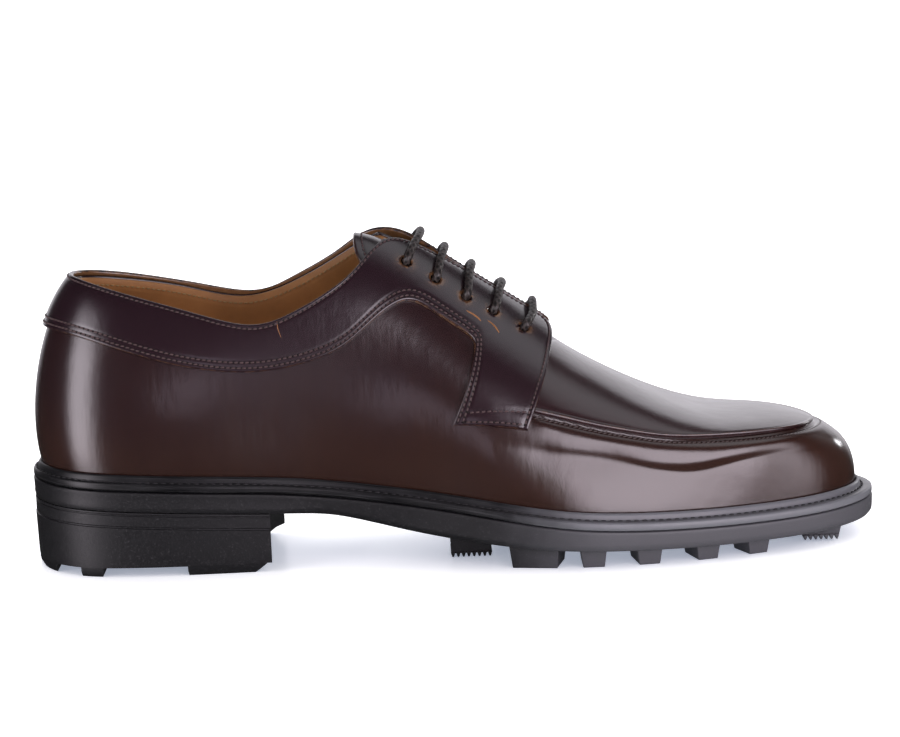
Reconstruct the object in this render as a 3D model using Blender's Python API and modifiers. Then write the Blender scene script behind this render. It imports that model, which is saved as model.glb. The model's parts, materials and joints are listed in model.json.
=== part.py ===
"""Right-foot apron derby shoe on a lugged rubber sole, as separate closed solids.

Tables and sizes are in millimetres, and MM turns them into metres as each mesh is made.
+X runs from heel to toe, -Y is the outer (lateral) side, +Y is the inner (medial) side, and the heel
and the forefoot lugs stand on z = 0 with the origin under the middle of the outsole.

The upper is drawn on a last. The last is a loop of ribs: each rib starts at the feather edge, where the
upper meets the welt, and climbs in its own upright plane to the ridge over the foot. A rib is named by its
station, the length walked along one side from the middle of the heel's back to the tip of the toe.
"""

import math

import bmesh
import bpy
import numpy as np
from mathutils import Vector

MM = 0.001
OBJECT_NAME = "derby_shoe"
LATERAL = -1.0
MEDIAL = 1.0

# Driving sizes
SOLE_LENGTH = 306.0
SOLE_WIDTH = 109.0
GAP = 0.3                   # between pieces that rest on each other
UPPER_WALL = 2.2
OVERLAY_GAP = 0.45          # curved overlays are faceted apart from the upper, so they sit a little higher
FACING_THICK = 1.4
APRON_THICK = 1.0
TONGUE_THICK = 1.8
TONGUE_DROP = 1.5           # under the inner face of the upper
INSOLE_THICK = 3.0
INSOLE_CLEAR = 1.0          # from the inner face of the upper
WELT_EDGE = 3.0
WELT_REACH = 15.0           # from the outline to the welt's inner edge
LIP_HEIGHT = 2.4
LIP_WIDTH = 1.7
HEEL_BREAST = -66.0
BREAST_HOLLOW = 8.0         # how far the middle of the breast stands behind its corners
LACE_RADIUS = 1.5
EYELET_RADIUS = 2.05

# Grid sizes: columns round the shoe and rows up or across
LOOP_COLUMNS = 90
UPPER_ROWS = 10
SOLE_COLUMNS = 70

# Outsole outline seen from above, from the heel's back along the lateral side to the toe and back
OUTLINE = (  # x, y
    (-153.0, 0.0),
    (-147.9, -18.0),
    (-134.5, -31.4),
    (-115.0, -36.3),
    (-85.0, -37.0),
    (-50.0, -36.0),
    (-18.0, -39.5),
    (12.0, -48.4),
    (38.0, -54.2),
    (62.0, -53.9),
    (90.0, -48.7),
    (117.0, -38.9),
    (137.0, -27.0),
    (149.0, -13.0),
    (153.0, 1.0),
    (150.0, 16.0),
    (140.5, 31.0),
    (123.0, 43.5),
    (99.0, 51.5),
    (72.0, 54.5),
    (45.0, 50.5),
    (18.0, 41.5),
    (-10.0, 33.5),
    (-40.0, 31.2),
    (-70.0, 33.4),
    (-95.0, 35.7),
    (-115.0, 36.3),
    (-134.5, 31.4),
    (-147.9, 18.0),
)

# Heights along the shoe: the flat of the welt, and the underside of the outsole between the lugs
SOLE_LINE = (  # x, welt top, outsole underside
    (-153.0, 36.0, 25.7),
    (-120.0, 34.4, 24.0),
    (-90.0, 32.8, 22.4),
    (-60.0, 31.0, 20.9),
    (-45.0, 29.5, 19.8),
    (-31.0, 27.8, 16.9),
    (-17.0, 26.0, 13.6),
    (0.0, 23.7, 10.6),
    (20.0, 20.6, 8.2),
    (41.0, 17.8, 6.7),
    (62.0, 16.4, 6.0),
    (83.0, 15.8, 5.6),
    (105.0, 15.6, 5.4),
    (128.0, 15.8, 5.5),
    (153.0, 16.8, 6.3),
)

# Setback of the feather edge from the outsole outline
FEATHER_SETBACK = (  # x, setback
    (-153.0, 3.8),
    (-115.0, 3.9),
    (-60.0, 4.1),
    (-10.0, 4.4),
    (40.0, 5.9),
    (90.0, 6.4),
    (153.0, 6.3),
)

# Ridge of the last over the foot; behind the collar it only closes the form that the topline is cut from
RIDGE = (  # x, z
    (-122.0, 110.5),
    (-97.0, 112.0),
    (-73.0, 115.8),
    (-50.0, 119.2),
    (-25.0, 118.0),
    (-10.0, 109.8),
    (8.0, 97.2),
    (22.0, 86.2),
    (36.7, 73.9),
    (51.0, 64.5),
    (65.6, 56.5),
    (80.0, 49.9),
    (94.0, 45.6),
    (108.0, 44.4),
)

# Fans of ribs at the two ends of the last, and the straight body between them
HEEL_PIVOT = -122.0
HEEL_FAN = 75.0
BODY = 173.0
TOE_FAN = 96.0
SIDE_LENGTH = HEEL_FAN + BODY + TOE_FAN
BODY_START = HEEL_PIVOT + HEEL_FAN / 3.0        # x where the body's square ribs begin
SPINE_SWING = 1.5                               # the ridge runs this far to the medial side at the toe

# Shape of the ribs: how far the wall swells past the feather, how high that handle stands, and how wide
# the shoulder handle under the ridge is, for the lateral and the medial side
RIBS = (  # station, swell, handle height, lateral shoulder, medial shoulder, medial swell
    (0.0, 7.0, 22.0, 23.0, 23.0, 7.0),
    (25.0, 6.6, 22.5, 25.0, 25.0, 6.6),
    (50.0, 5.8, 24.0, 27.5, 27.5, 5.8),
    (75.0, 5.0, 25.5, 28.5, 28.5, 5.4),
    (99.0, 4.4, 27.0, 29.0, 28.0, 6.0),
    (122.0, 4.5, 32.0, 27.5, 26.5, 6.6),
    (147.0, 5.2, 37.0, 23.0, 22.5, 7.0),
    (172.0, 5.6, 37.0, 22.0, 22.0, 6.6),
    (192.0, 5.2, 33.0, 24.0, 24.0, 5.4),
    (207.0, 4.4, 29.5, 28.0, 28.0, 4.4),
    (222.0, 3.4, 26.5, 34.0, 34.0, 3.4),
    (248.0, 2.0, 24.5, 46.0, 46.0, 2.0),
    (272.0, 1.4, 23.5, 49.0, 49.0, 1.4),
    (296.0, 1.2, 22.5, 44.0, 44.0, 1.2),
    (320.0, 1.2, 21.0, 34.0, 34.0, 1.2),
    (344.0, 1.2, 20.5, 28.0, 28.0, 1.2),
)

# Top edge of the upper below its collar band, up to the top of the facing
TOPLINE = (  # station, lateral z, medial z
    (0.0, 104.0, 104.0),
    (25.0, 102.8, 103.1),
    (50.0, 99.2, 101.0),
    (75.0, 93.4, 96.8),
    (99.0, 87.0, 92.0),
    (115.5, 89.8, 96.8),
    (131.0, 97.8, 105.2),
    (142.0, 106.6, 112.0),
    (150.0, 115.0, 116.0),
)
THROAT_HALF = 8.0           # half the width of the upper's throat under the facings
THROAT_STATION = 204.0      # where the throat closes onto the vamp
THROAT_ROUND = 12.0

# The collar band and facing as rungs, from the heel's back to the tab on the vamp. Each rung runs from
# the top edge to the lower edge. Along the lacing slit the top edge is set by its distance from the ridge,
# and elsewhere by its height.
FACING = (  # top station, top z, medial rise, half slit, low station, low z, lateral lift, medial lift
    (0.0, 104.8, 0.0, 0.0, 0.0, 86.8, 0.0, 0.0),
    (25.0, 103.6, 0.3, 0.0, 25.0, 85.6, 0.0, 0.0),
    (50.0, 100.0, 1.8, 0.0, 50.0, 81.8, 0.0, 0.0),
    (75.0, 94.2, 3.4, 0.0, 75.5, 75.5, 0.0, 0.0),
    (99.0, 87.9, 5.0, 0.0, 98.0, 72.4, 0.0, 0.0),
    (115.5, 90.7, 7.0, 0.0, 114.5, 74.8, 0.0, 0.0),
    (131.0, 98.6, 7.6, 0.0, 130.0, 82.0, 0.0, 0.0),
    (142.0, 107.4, 5.6, 0.0, 141.5, 89.6, 0.1, 1.0),
    (152.4, 140.0, 0.0, 8.4, 152.0, 94.8, 0.3, 2.4),
    (166.0, 140.0, 0.0, 4.2, 160.5, 93.8, 0.8, 1.6),
    (182.0, 140.0, 0.0, 2.8, 170.5, 87.8, 1.7, 1.7),
    (195.6, 140.0, 0.0, 2.8, 179.0, 80.4, 3.2, 3.2),
    (203.4, 76.6, 0.0, 2.8, 180.4, 75.2, 4.4, 4.4),
    (204.4, 69.0, 0.0, 2.8, 178.8, 67.4, 2.6, 2.6),
    (201.2, 58.6, 0.0, 2.8, 174.8, 58.4, 0.8, 0.8),
    (195.6, 48.6, 0.0, 2.8, 171.2, 50.8, 0.0, 0.0),
)
FACING_COLUMNS = 39
FACING_ROWS = 7

# The apron as rungs from its seam up to the ridge
APRON = (  # seam station, seam z, ridge station
    (201.5, 53.7, 211.5),
    (209.0, 51.7, 216.0),
    (222.0, 48.2, 226.0),
    (236.0, 45.2, 238.0),
    (250.0, 43.0, 251.0),
    (272.0, 41.7, 272.0),
    (296.0, 41.5, 296.0),
    (320.0, 41.2, 320.0),
    (344.0, 41.0, 344.0),
)
APRON_COLUMNS = 19          # on each side
APRON_ROWS = 7

TONGUE_TOP = 139.5          # stations of the tongue's ends
TONGUE_FOOT = 214.0
TONGUE_HALF_TOP = 20.0
TONGUE_HALF_FOOT = 13.0

# Each pair of eyelets and its lace bar, in the facing's own measure
EYELETS = (  # rung and share across of the eyelet, rung where the bar crosses the slit
    (8.45, 0.52, 8.58),
    (9.36, 0.605, 9.17),
    (10.19, 0.615, 9.75),
    (11.03, 0.55, 10.42),
    (12.07, 0.315, 11.2),
)

# Tread lugs: centre x, length along the shoe, reach in from the edge
EDGE_LUGS = (  # lateral x, medial x, length, width
    (25.5, 22.0, 18.0, 17.0),
    (47.5, 45.5, 9.6, 17.0),
    (68.0, 67.0, 9.4, 17.0),
    (89.5, 89.0, 9.2, 16.0),
    (109.0, 109.5, 9.0, 14.0),
)
EDGE_LUG_SETBACK = 4.6
INNER_LUGS = (  # x, y, length, width
    (5.0, -16.0, 16.0, 16.0),
    (5.0, 9.0, 16.0, 16.0),
    (36.0, 0.0, 9.0, 26.0),
    (57.5, 1.0, 9.0, 30.0),
    (78.5, 1.5, 9.0, 30.0),
    (99.0, 2.0, 8.5, 26.0),
    (131.0, 2.0, 15.0, 50.0),
)
LUG_DRAFT = 1.0             # how much narrower a lug is at the floor
TOE_LIFT_START = 96.0
TOE_LIFT = 0.0007           # lug lift for each squared millimetre past the start

# Heel rings from the floor up: height, setback from the outline, how far back the breast stands.
# Heights under zero are measured down from the top of the block.
HEEL_RINGS = (
    (0.0, 2.2, -6.0),
    (1.6, 1.0, -4.0),
    (4.6, 0.6, 0.0),
    (-5.6, 0.1, 0.0),
    (-5.2, 0.6, 0.0),
    (-4.8, 0.2, 0.0),
    (-0.7, 0.2, 0.0),
    (-0.01, 0.6, 0.0),
)
HEEL_RING_POINTS = 34
BREAST_POINTS = 7           # across the breast, between its corners
HEEL_NOTCH_DEPTH = 3.6
HEEL_NOTCHES = (  # x from, x to
    (-143.5, -134.5),
    (-126.0, -96.0),
)
HEEL_STUDS = (  # x, y, length, width
    (-111.0, -14.0, 12.0, 10.0),
    (-111.0, 14.0, 12.0, 10.0),
)


def natural_cubic(knots, values, at):
    """Natural cubic spline through (knots, values), read at the places in `at`."""
    knots = np.asarray(knots, float)
    values = np.asarray(values, float)
    at = np.asarray(at, float)
    count = len(knots)
    step = np.diff(knots)
    slope = np.diff(values) / step
    system = np.eye(count)
    right = np.zeros(count)
    inner = np.arange(1, count - 1)
    system[inner, inner - 1] = step[:-1]
    system[inner, inner] = 2.0 * (step[:-1] + step[1:])
    system[inner, inner + 1] = step[1:]
    right[1:-1] = 6.0 * np.diff(slope)
    bend = np.linalg.solve(system, right)
    cell = np.clip(np.searchsorted(knots, at) - 1, 0, count - 2)
    along = at - knots[cell]
    width = step[cell]
    first = slope[cell] - width * (2.0 * bend[cell] + bend[cell + 1]) / 6.0
    third = (bend[cell + 1] - bend[cell]) / (6.0 * width)
    return values[cell] + along * (first + along * (bend[cell] / 2.0 + along * third))


def column(table, index):
    """One column of a table as an array."""
    return np.array([row[index] for row in table], float)


def from_table(table, index, at):
    """A table's column, read smoothly along its first column."""
    return natural_cubic(column(table, 0), column(table, index), at)


def both_sides(table, lateral, medial, station, side):
    """A rib table read round the whole loop, so the two sides join smoothly at heel and toe."""
    stations = column(table, 0)
    outer = column(table, lateral)
    inner = column(table, medial)
    turn = 2.0 * SIDE_LENGTH
    knots = np.concatenate((stations, turn - stations[-2:0:-1]))
    values = np.concatenate((outer, inner[-2:0:-1]))
    knots = np.concatenate((knots - turn, knots, knots + turn))
    values = np.tile(values, 3)
    return natural_cubic(knots, values, np.where(side < 0, station, turn - station))


def closed_outline(points, count):
    """Smooth closed curve through the outline's points, as evenly spaced points."""
    path = np.array(points, float)
    around = np.vstack((path[-4:], path, path[:5]))
    chord = np.concatenate(([0.0], np.cumsum(np.hypot(*np.diff(around, axis=0).T))))
    start, end = chord[4], chord[4 + len(path)]
    fine = np.linspace(start, end, 6000)
    curve = np.stack((natural_cubic(chord, around[:, 0], fine), natural_cubic(chord, around[:, 1], fine)), 1)
    walked = np.concatenate(([0.0], np.cumsum(np.hypot(*np.diff(curve, axis=0).T))))
    even = np.linspace(0.0, walked[-1], count, endpoint=False)
    curve = np.stack((np.interp(even, walked, curve[:, 0]), np.interp(even, walked, curve[:, 1])), 1)
    middle = (curve.max(0) + curve.min(0)) / 2.0
    return (curve - middle) * np.array((SOLE_LENGTH, SOLE_WIDTH)) / (curve.max(0) - curve.min(0))


def outline_inward(curve):
    """Unit directions into the outline, square to it."""
    tangent = np.roll(curve, -1, axis=0) - np.roll(curve, 1, axis=0)
    tangent /= np.hypot(tangent[:, 0], tangent[:, 1])[:, None]
    return np.stack((-tangent[:, 1], tangent[:, 0]), 1)


EDGE = closed_outline(OUTLINE, 1440)
EDGE_IN = outline_inward(EDGE)


def set_in(setback):
    """The outline moved inwards by a distance, which may change along it."""
    return EDGE + EDGE_IN * np.broadcast_to(setback, len(EDGE))[:, None]


FEATHER_IN = from_table(FEATHER_SETBACK, 1, EDGE[:, 0])
FEATHER = set_in(FEATHER_IN)


def rib_plan(station, side):
    """Foot point on the spine and outward direction of each rib, seen from above."""
    heel = np.clip(station / HEEL_FAN, 0.0, 1.0)
    toe = np.clip((SIDE_LENGTH - station) / TOE_FAN, 0.0, 1.0)
    heel_turn = math.pi / 2.0 * heel * (2.0 - heel)
    toe_turn = math.pi / 2.0 * toe * (2.0 - toe)
    body = np.clip(station - HEEL_FAN, 0.0, BODY)
    spine_x = HEEL_PIVOT + HEEL_FAN / 3.0 * heel ** 3 + body + TOE_FAN / 3.0 * (1.0 - toe ** 3)
    spine_y = SPINE_SWING * (spine_x - HEEL_PIVOT) / (HEEL_FAN / 3.0 + BODY + TOE_FAN / 3.0)
    out_x = np.cos(toe_turn) - np.cos(heel_turn)
    out_y = side * np.sin(heel_turn) * np.sin(toe_turn)
    return spine_x, spine_y, out_x, out_y


def reach(spine_x, spine_y, out_x, out_y, curve):
    """Distance from each spine point, along its rib's direction, to a closed curve."""
    rel_x = curve[None, :, 0] - spine_x[:, None]
    rel_y = curve[None, :, 1] - spine_y[:, None]
    across = out_x[:, None] * rel_y - out_y[:, None] * rel_x
    along = out_x[:, None] * rel_x + out_y[:, None] * rel_y
    following = np.roll(across, -1, axis=1)
    hit = np.argmax((across * following <= 0.0) & (along > 0.0), axis=1)
    row = np.arange(len(spine_x))
    share = across[row, hit] / (across[row, hit] - following[row, hit])
    return along[row, hit] * (1.0 - share) + np.roll(along, -1, axis=1)[row, hit] * share


class Ribs:
    """The ribs of the last at the given stations: plan, and the four handles of each section curve."""

    def __init__(self, station, side):
        self.station = np.asarray(station, float).ravel()
        self.side = np.broadcast_to(np.asarray(side, float), np.shape(station)).ravel()
        self.plan = rib_plan(self.station, self.side)
        spine_x, spine_y, out_x, out_y = self.plan
        foot = reach(spine_x, spine_y, out_x, out_y, FEATHER)
        foot_z = from_table(SOLE_LINE, 1, spine_x + foot * out_x) + GAP
        top = from_table(RIDGE, 1, spine_x)
        ridge_slope = from_table(RIDGE, 1, spine_x + 0.5) - from_table(RIDGE, 1, spine_x - 0.5)
        swell = both_sides(RIBS, 1, 5, self.station, self.side)
        handle = both_sides(RIBS, 2, 2, self.station, self.side)
        shoulder = both_sides(RIBS, 3, 4, self.station, self.side)
        self.out = np.stack((foot, foot + swell, shoulder, np.zeros_like(foot)), 1)
        self.up = np.stack((foot_z, foot_z + handle, top + ridge_slope * out_x * shoulder, top), 1)

    def section(self, share):
        """Distance out and height at a share of the way up each rib, a cubic curve on four handles."""
        share = np.asarray(share, float)
        rest = 1.0 - share
        weight = np.stack((rest ** 3, 3.0 * rest * rest * share, 3.0 * rest * share * share, share ** 3), -1)
        return (weight * self.out).sum(-1), (weight * self.up).sum(-1)

    def point(self, share):
        """Points of the last, one for each rib."""
        spine_x, spine_y, out_x, out_y = self.plan
        out, up = self.section(share)
        return np.stack((spine_x + out * out_x, spine_y + out * out_y, up), -1)

    def share_at_height(self, height):
        """Share of the way up at which each rib reaches a height."""
        steps = np.linspace(0.0, 1.0, 401)
        heights = np.stack([self.section(np.full(len(self.station), step))[1] for step in steps], 1)
        above = np.argmax(heights >= np.minimum(height, heights[:, -1] - 1e-6)[:, None], axis=1)
        return self._between(steps, heights, above, height)

    def share_at_width(self, width):
        """Share of the way up at which each rib comes back in to a distance from the spine."""
        steps = np.linspace(1.0, 0.0, 401)
        widths = np.stack([self.section(np.full(len(self.station), step))[0] for step in steps], 1)
        beyond = np.argmax(widths >= np.maximum(width, 1e-9)[:, None], axis=1)
        return self._between(steps, widths, beyond, width)

    @staticmethod
    def _between(steps, table, cell, target):
        row = np.arange(len(cell))
        cell = np.maximum(cell, 1)
        low = table[row, cell - 1]
        high = table[row, cell]
        share = np.clip((target - low) / np.where(high == low, 1.0, high - low), 0.0, 1.0)
        return steps[cell - 1] + share * (steps[cell] - steps[cell - 1])


def last_surface(station, share, side, offset=0.0):
    """Points of the last moved out along its own normals by an offset."""
    shape = np.shape(station)
    station = np.asarray(station, float).ravel()
    share = np.asarray(share, float).ravel()
    side = np.broadcast_to(np.asarray(side, float), shape).ravel()
    offset = np.broadcast_to(np.asarray(offset, float), shape).ravel()
    point = Ribs(station, side).point(share)
    near = np.clip(share, 0.004, 0.996)
    before = np.clip(station - 0.4, 0.0, SIDE_LENGTH)
    after = np.clip(station + 0.4, 0.0, SIDE_LENGTH)
    along = Ribs(after, side).point(near) - Ribs(before, side).point(near)
    ribs = Ribs(station, side)
    climb = ribs.point(near + 0.004) - ribs.point(near - 0.004)
    normal = np.cross(along, climb) * -side[:, None]
    normal /= np.linalg.norm(normal, axis=1)[:, None]
    return (point + normal * offset[:, None]).reshape(shape + (3,))


def smooth_rows(rows, count):
    """Evenly spread smooth readings through the rows of a table."""
    rows = np.asarray(rows, float)
    at = np.linspace(0.0, len(rows) - 1.0, count)
    return np.stack([natural_cubic(np.arange(len(rows)), rows[:, index], at) for index in range(rows.shape[1])], 1)


def new_object(name, collection, colour, roughness):
    """An empty mesh object with its own material, in a collection."""
    mesh = bpy.data.meshes.new(name)
    made = bpy.data.objects.new(name, mesh)
    collection.objects.link(made)
    material = bpy.data.materials.new(name)
    material.use_nodes = True
    shader = material.node_tree.nodes["Principled BSDF"]
    shader.inputs["Base Color"].default_value = colour + (1.0,)
    shader.inputs["Roughness"].default_value = roughness
    mesh.materials.append(material)
    return made


def fill_mesh(made, points, faces):
    """Put points and faces into an object's mesh, joined where they meet and facing out."""
    made.data.from_pydata([tuple(point) for point in np.asarray(points) * MM], [], faces)
    shape = bmesh.new()
    shape.from_mesh(made.data)
    bmesh.ops.remove_doubles(shape, verts=shape.verts, dist=2e-6)
    bmesh.ops.recalc_face_normals(shape, faces=shape.faces)
    shape.to_mesh(made.data)
    shape.free()


def grid_faces(columns, rows, closed):
    """Quads of a grid of points kept column by column."""
    last = columns if closed else columns - 1
    corner = np.array([(c, r) for c in range(last) for r in range(rows - 1)])
    here = corner[:, 0] * rows + corner[:, 1]
    beside = (corner[:, 0] + 1) % columns * rows + corner[:, 1]
    return [tuple(int(v) for v in face) for face in np.stack((here, beside, beside + 1, here + 1), 1)]


def grid_solid(made, points, closed):
    """A closed body from a grid of points whose first and last rows close on themselves."""
    fill_mesh(made, points.reshape(-1, 3), grid_faces(points.shape[0], points.shape[1], closed))


def slab(made, inner, outer):
    """A closed sheet between two matching grids of points."""
    columns, rows = inner.shape[:2]
    ring = np.concatenate((outer, inner[:, ::-1]), axis=1)
    faces = grid_faces(columns, 2 * rows, False)
    for first in (0, columns - 1):
        for row in range(rows - 1):
            top = first * 2 * rows + row
            low = first * 2 * rows + 2 * rows - 1 - row
            faces.append((top, top + 1, low - 1, low))
    # the long edges between the two sheets
    for col in range(columns - 1):
        here = col * 2 * rows
        there = here + 2 * rows
        faces.append((here, there, there + 2 * rows - 1, here + 2 * rows - 1))
    fill_mesh(made, ring.reshape(-1, 3), faces)


def solidify(made, thickness):
    """Give an open surface its thickness on the inner side of its faces."""
    wall = made.modifiers.new("wall", "SOLIDIFY")
    wall.thickness = thickness * MM
    wall.offset = -1.0
    wall.use_even_offset = False


def loop_stations(columns):
    """Stations round the whole shoe: down the lateral side and back up the medial side."""
    turn = np.linspace(0.0, 2.0 * SIDE_LENGTH, columns, endpoint=False)
    side = np.where(turn <= SIDE_LENGTH, LATERAL, MEDIAL)
    return np.where(turn <= SIDE_LENGTH, turn, 2.0 * SIDE_LENGTH - turn), side


def upper_top(station, side):
    """Share of each rib at which the upper ends: topline, throat edge or ridge."""
    ribs = Ribs(station, side)
    line = np.where(side < 0, from_table(TOPLINE, 1, np.minimum(station, TOPLINE[-1][0])),
                    from_table(TOPLINE, 2, np.minimum(station, TOPLINE[-1][0])))
    behind = station < TOPLINE[-1][0]
    by_line = np.where(behind, ribs.share_at_height(line), 1.0)
    half = THROAT_HALF * np.sqrt(np.clip((THROAT_STATION - station) / THROAT_ROUND, 0.0, 1.0))
    by_throat = np.where(half > 0.0, ribs.share_at_width(half), 1.0)
    return np.minimum(by_line, by_throat)


def make_upper(collection):
    """The hollow upper: the last's skin from the feather edge to its top edge, with a wall inside it."""
    station, side = loop_stations(LOOP_COLUMNS)
    top = upper_top(station, side)
    climb = np.linspace(0.0, 1.0, UPPER_ROWS) ** 0.92
    share = top[:, None] * climb[None, :]
    points = last_surface(np.repeat(station[:, None], UPPER_ROWS, 1), share, np.repeat(side[:, None], UPPER_ROWS, 1))
    upper = new_object("upper", collection, (0.08, 0.04, 0.035), 0.4)
    grid_solid(upper, points, True)
    shape = bmesh.new()
    shape.from_mesh(upper.data)
    toe_wall = min(shape.faces, key=lambda face: (face.calc_center_median() - Vector((0.15, 0.0, 0.025))).length)
    if toe_wall.normal.x < 0.0:
        bmesh.ops.reverse_faces(shape, faces=shape.faces)
    shape.to_mesh(upper.data)
    shape.free()
    solidify(upper, UPPER_WALL)
    return upper


def facing_rungs(side):
    """The rungs of one facing as columns of station and share for both ends, with the lift of the top edge."""
    rise = column(FACING, 2) if side > 0 else 0.0
    sides = np.full(len(FACING), side)
    ribs = Ribs(column(FACING, 0), sides)
    top = np.minimum(ribs.share_at_height(column(FACING, 1) + rise), ribs.share_at_width(column(FACING, 3)))
    low = Ribs(column(FACING, 4), sides).share_at_height(column(FACING, 5) + rise)
    lift = column(FACING, 7 if side > 0 else 6)
    return np.stack((column(FACING, 0), top, column(FACING, 4), low, lift), 1)


def facing_at(side, rung, across, height):
    """Points of one facing: how far along its rungs, how far across them, and the height over its inner face."""
    table = facing_rungs(side)
    order = np.arange(len(table))
    read = [natural_cubic(order, table[:, index], rung) for index in range(5)]
    station = np.clip(read[0] * (1.0 - across) + read[2] * across, 0.0, SIDE_LENGTH)
    share = read[1] * (1.0 - across) + read[3] * across
    lift = np.maximum(read[4], 0.0) * np.clip(1.0 - across, 0.0, 1.0) ** 1.6
    return last_surface(station, share, side, OVERLAY_GAP + lift + height)


def make_facing(collection, name, side):
    """A collar band and facing: a sheet that follows the upper and stands off it over the tongue."""
    rung, across = np.meshgrid(np.linspace(0.0, len(FACING) - 1.0, FACING_COLUMNS),
                               np.linspace(0.0, 1.0, FACING_ROWS), indexing="ij")
    inner = facing_at(side, rung, across, 0.0)
    outer = facing_at(side, rung, across, FACING_THICK)
    inner[0, :, 1] = side * GAP / 2.0
    outer[0, :, 1] = side * GAP / 2.0
    facing = new_object(name, collection, (0.05, 0.03, 0.035), 0.35)
    slab(facing, inner, outer)
    return facing


def make_apron(collection):
    """The raised plug on the vamp, from its seam on one side over the ridge to the seam on the other."""
    rungs = smooth_rows(APRON, APRON_COLUMNS)
    rungs[:, 0] = np.minimum(rungs[:, 0], SIDE_LENGTH)
    rungs[:, 2] = np.minimum(rungs[:, 2], SIDE_LENGTH)
    across = np.linspace(0.0, 1.0, APRON_ROWS)[None, :]
    sheets = []
    for side in (LATERAL, MEDIAL):
        sides = np.full(APRON_COLUMNS, side)
        seam = Ribs(rungs[:, 0], sides).share_at_height(rungs[:, 1])
        station = rungs[:, 0:1] * (1.0 - across) + rungs[:, 2:3] * across
        share = seam[:, None] * (1.0 - across) + across
        low = last_surface(station, share, side, OVERLAY_GAP)
        high = last_surface(station, share, side, OVERLAY_GAP + APRON_THICK)
        sheets.append((low, high))
    inner = np.concatenate((sheets[0][0], sheets[1][0][::-1][1:]), axis=0)
    outer = np.concatenate((sheets[0][1], sheets[1][1][::-1][1:]), axis=0)
    for sheet in (inner, outer):
        half = APRON_COLUMNS
        ridge = (sheet[:half, -1] + sheet[::-1][:half, -1]) / 2.0
        sheet[:half, -1] = ridge
        sheet[::-1][:half, -1] = ridge
    apron = new_object("apron", collection, (0.07, 0.04, 0.04), 0.35)
    columns, rows = inner.shape[:2]
    points = np.concatenate((outer, inner[:, ::-1]), axis=1).reshape(-1, 3)
    faces = [face for face in grid_faces(columns, 2 * rows, False) if face[0] % (2 * rows) != rows - 1]
    for col in range(columns - 1):
        here = col * 2 * rows
        there = here + 2 * rows
        faces.append((here, there, there + 2 * rows - 1, here + 2 * rows - 1))
    for first in (0, columns - 1):
        for row in range(rows - 1):
            top = first * 2 * rows + row
            low = first * 2 * rows + 2 * rows - 1 - row
            faces.append((top, top + 1, low - 1, low))
    fill_mesh(apron, points, faces)
    return apron


def make_tongue(collection):
    """The tongue: a sheet under the throat that follows the last a little inside the upper."""
    columns, rows = 11, 9
    station = np.linspace(TONGUE_TOP, TONGUE_FOOT, columns)
    half = np.linspace(TONGUE_HALF_TOP, TONGUE_HALF_FOOT, columns)
    offset = -(UPPER_WALL + TONGUE_DROP)
    halves = []
    across = np.linspace(0.0, 1.0, rows // 2 + 1)
    for side in (LATERAL, MEDIAL):
        edge = Ribs(station, np.full(columns, side)).share_at_width(half)
        share = edge[:, None] * (1.0 - across)[None, :] + across[None, :]
        wide = np.repeat(station[:, None], len(across), 1)
        halves.append((last_surface(wide, share, side, offset), last_surface(wide, share, side, offset - TONGUE_THICK)))
    sheets = []
    for index in (0, 1):
        lateral, medial = halves[0][index], halves[1][index]
        lateral[:, -1] = (lateral[:, -1] + medial[:, -1]) / 2.0
        sheets.append(np.concatenate((lateral, medial[:, ::-1][:, 1:]), axis=1))
    tongue = new_object("tongue", collection, (0.08, 0.05, 0.05), 0.4)
    slab(tongue, sheets[1], sheets[0])
    return tongue


def sole_loop(columns):
    """Plan of evenly spread ribs for a sole piece."""
    station, side = loop_stations(columns)
    return rib_plan(station, side)


def sole_ring(plan, setback, line, lift):
    """Points round the shoe at a setback from the outline, at a height from one of the sole lines."""
    spine_x, spine_y, out_x, out_y = plan
    far = reach(spine_x, spine_y, out_x, out_y, set_in(setback))
    x = spine_x + far * out_x
    return np.stack((x, spine_y + far * out_y, from_table(SOLE_LINE, line, x) + lift), 1)


def spine_ring(plan, line, lift):
    """Points on the spine, where the flat faces of a sole piece close."""
    spine_x, spine_y = plan[:2]
    return np.stack((spine_x, spine_y, from_table(SOLE_LINE, line, spine_x) + lift), 1)


def half_ring(inner, outer):
    """Points halfway between two rings."""
    return (inner + outer) / 2.0


def make_insole(collection):
    """The insole board inside the foot of the upper."""
    plan = sole_loop(SOLE_COLUMNS)
    setback = FEATHER_IN + UPPER_WALL + INSOLE_CLEAR
    low = 2.0 * GAP
    rings = (
        spine_ring(plan, 1, low),
        sole_ring(plan, setback, 1, low),
        sole_ring(plan, setback, 1, low + INSOLE_THICK),
        spine_ring(plan, 1, low + INSOLE_THICK),
    )
    insole = new_object("insole", collection, (0.5, 0.33, 0.16), 0.6)
    grid_solid(insole, np.stack(rings, 1), True)
    return insole


def make_welt(collection):
    """The welt: a flat ring with a rounded edge and a raised lip against the foot of the upper."""
    plan = sole_loop(SOLE_COLUMNS)
    lip_in = FEATHER_IN - GAP
    profile = (  # setback from the outline, height from the welt's flat
        (0.5, -WELT_EDGE),
        (0.1, -WELT_EDGE + 0.6),
        (0.1, -0.8),
        (0.7, 0.0),
        (lip_in - LIP_WIDTH - 0.5, 0.0),
        (lip_in - LIP_WIDTH, LIP_HEIGHT * 0.7),
        (lip_in - LIP_WIDTH * 0.55, LIP_HEIGHT),
        (lip_in - 0.75, LIP_HEIGHT),
        (lip_in - 0.05, 0.0),
        (WELT_REACH, 0.0),
        (WELT_REACH, -WELT_EDGE),
        (0.5, -WELT_EDGE),
    )
    rings = [sole_ring(plan, setback, 1, height) for setback, height in profile]
    welt = new_object("welt", collection, (0.02, 0.02, 0.022), 0.3)
    grid_solid(welt, np.stack(rings, 1), True)
    return welt


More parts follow.
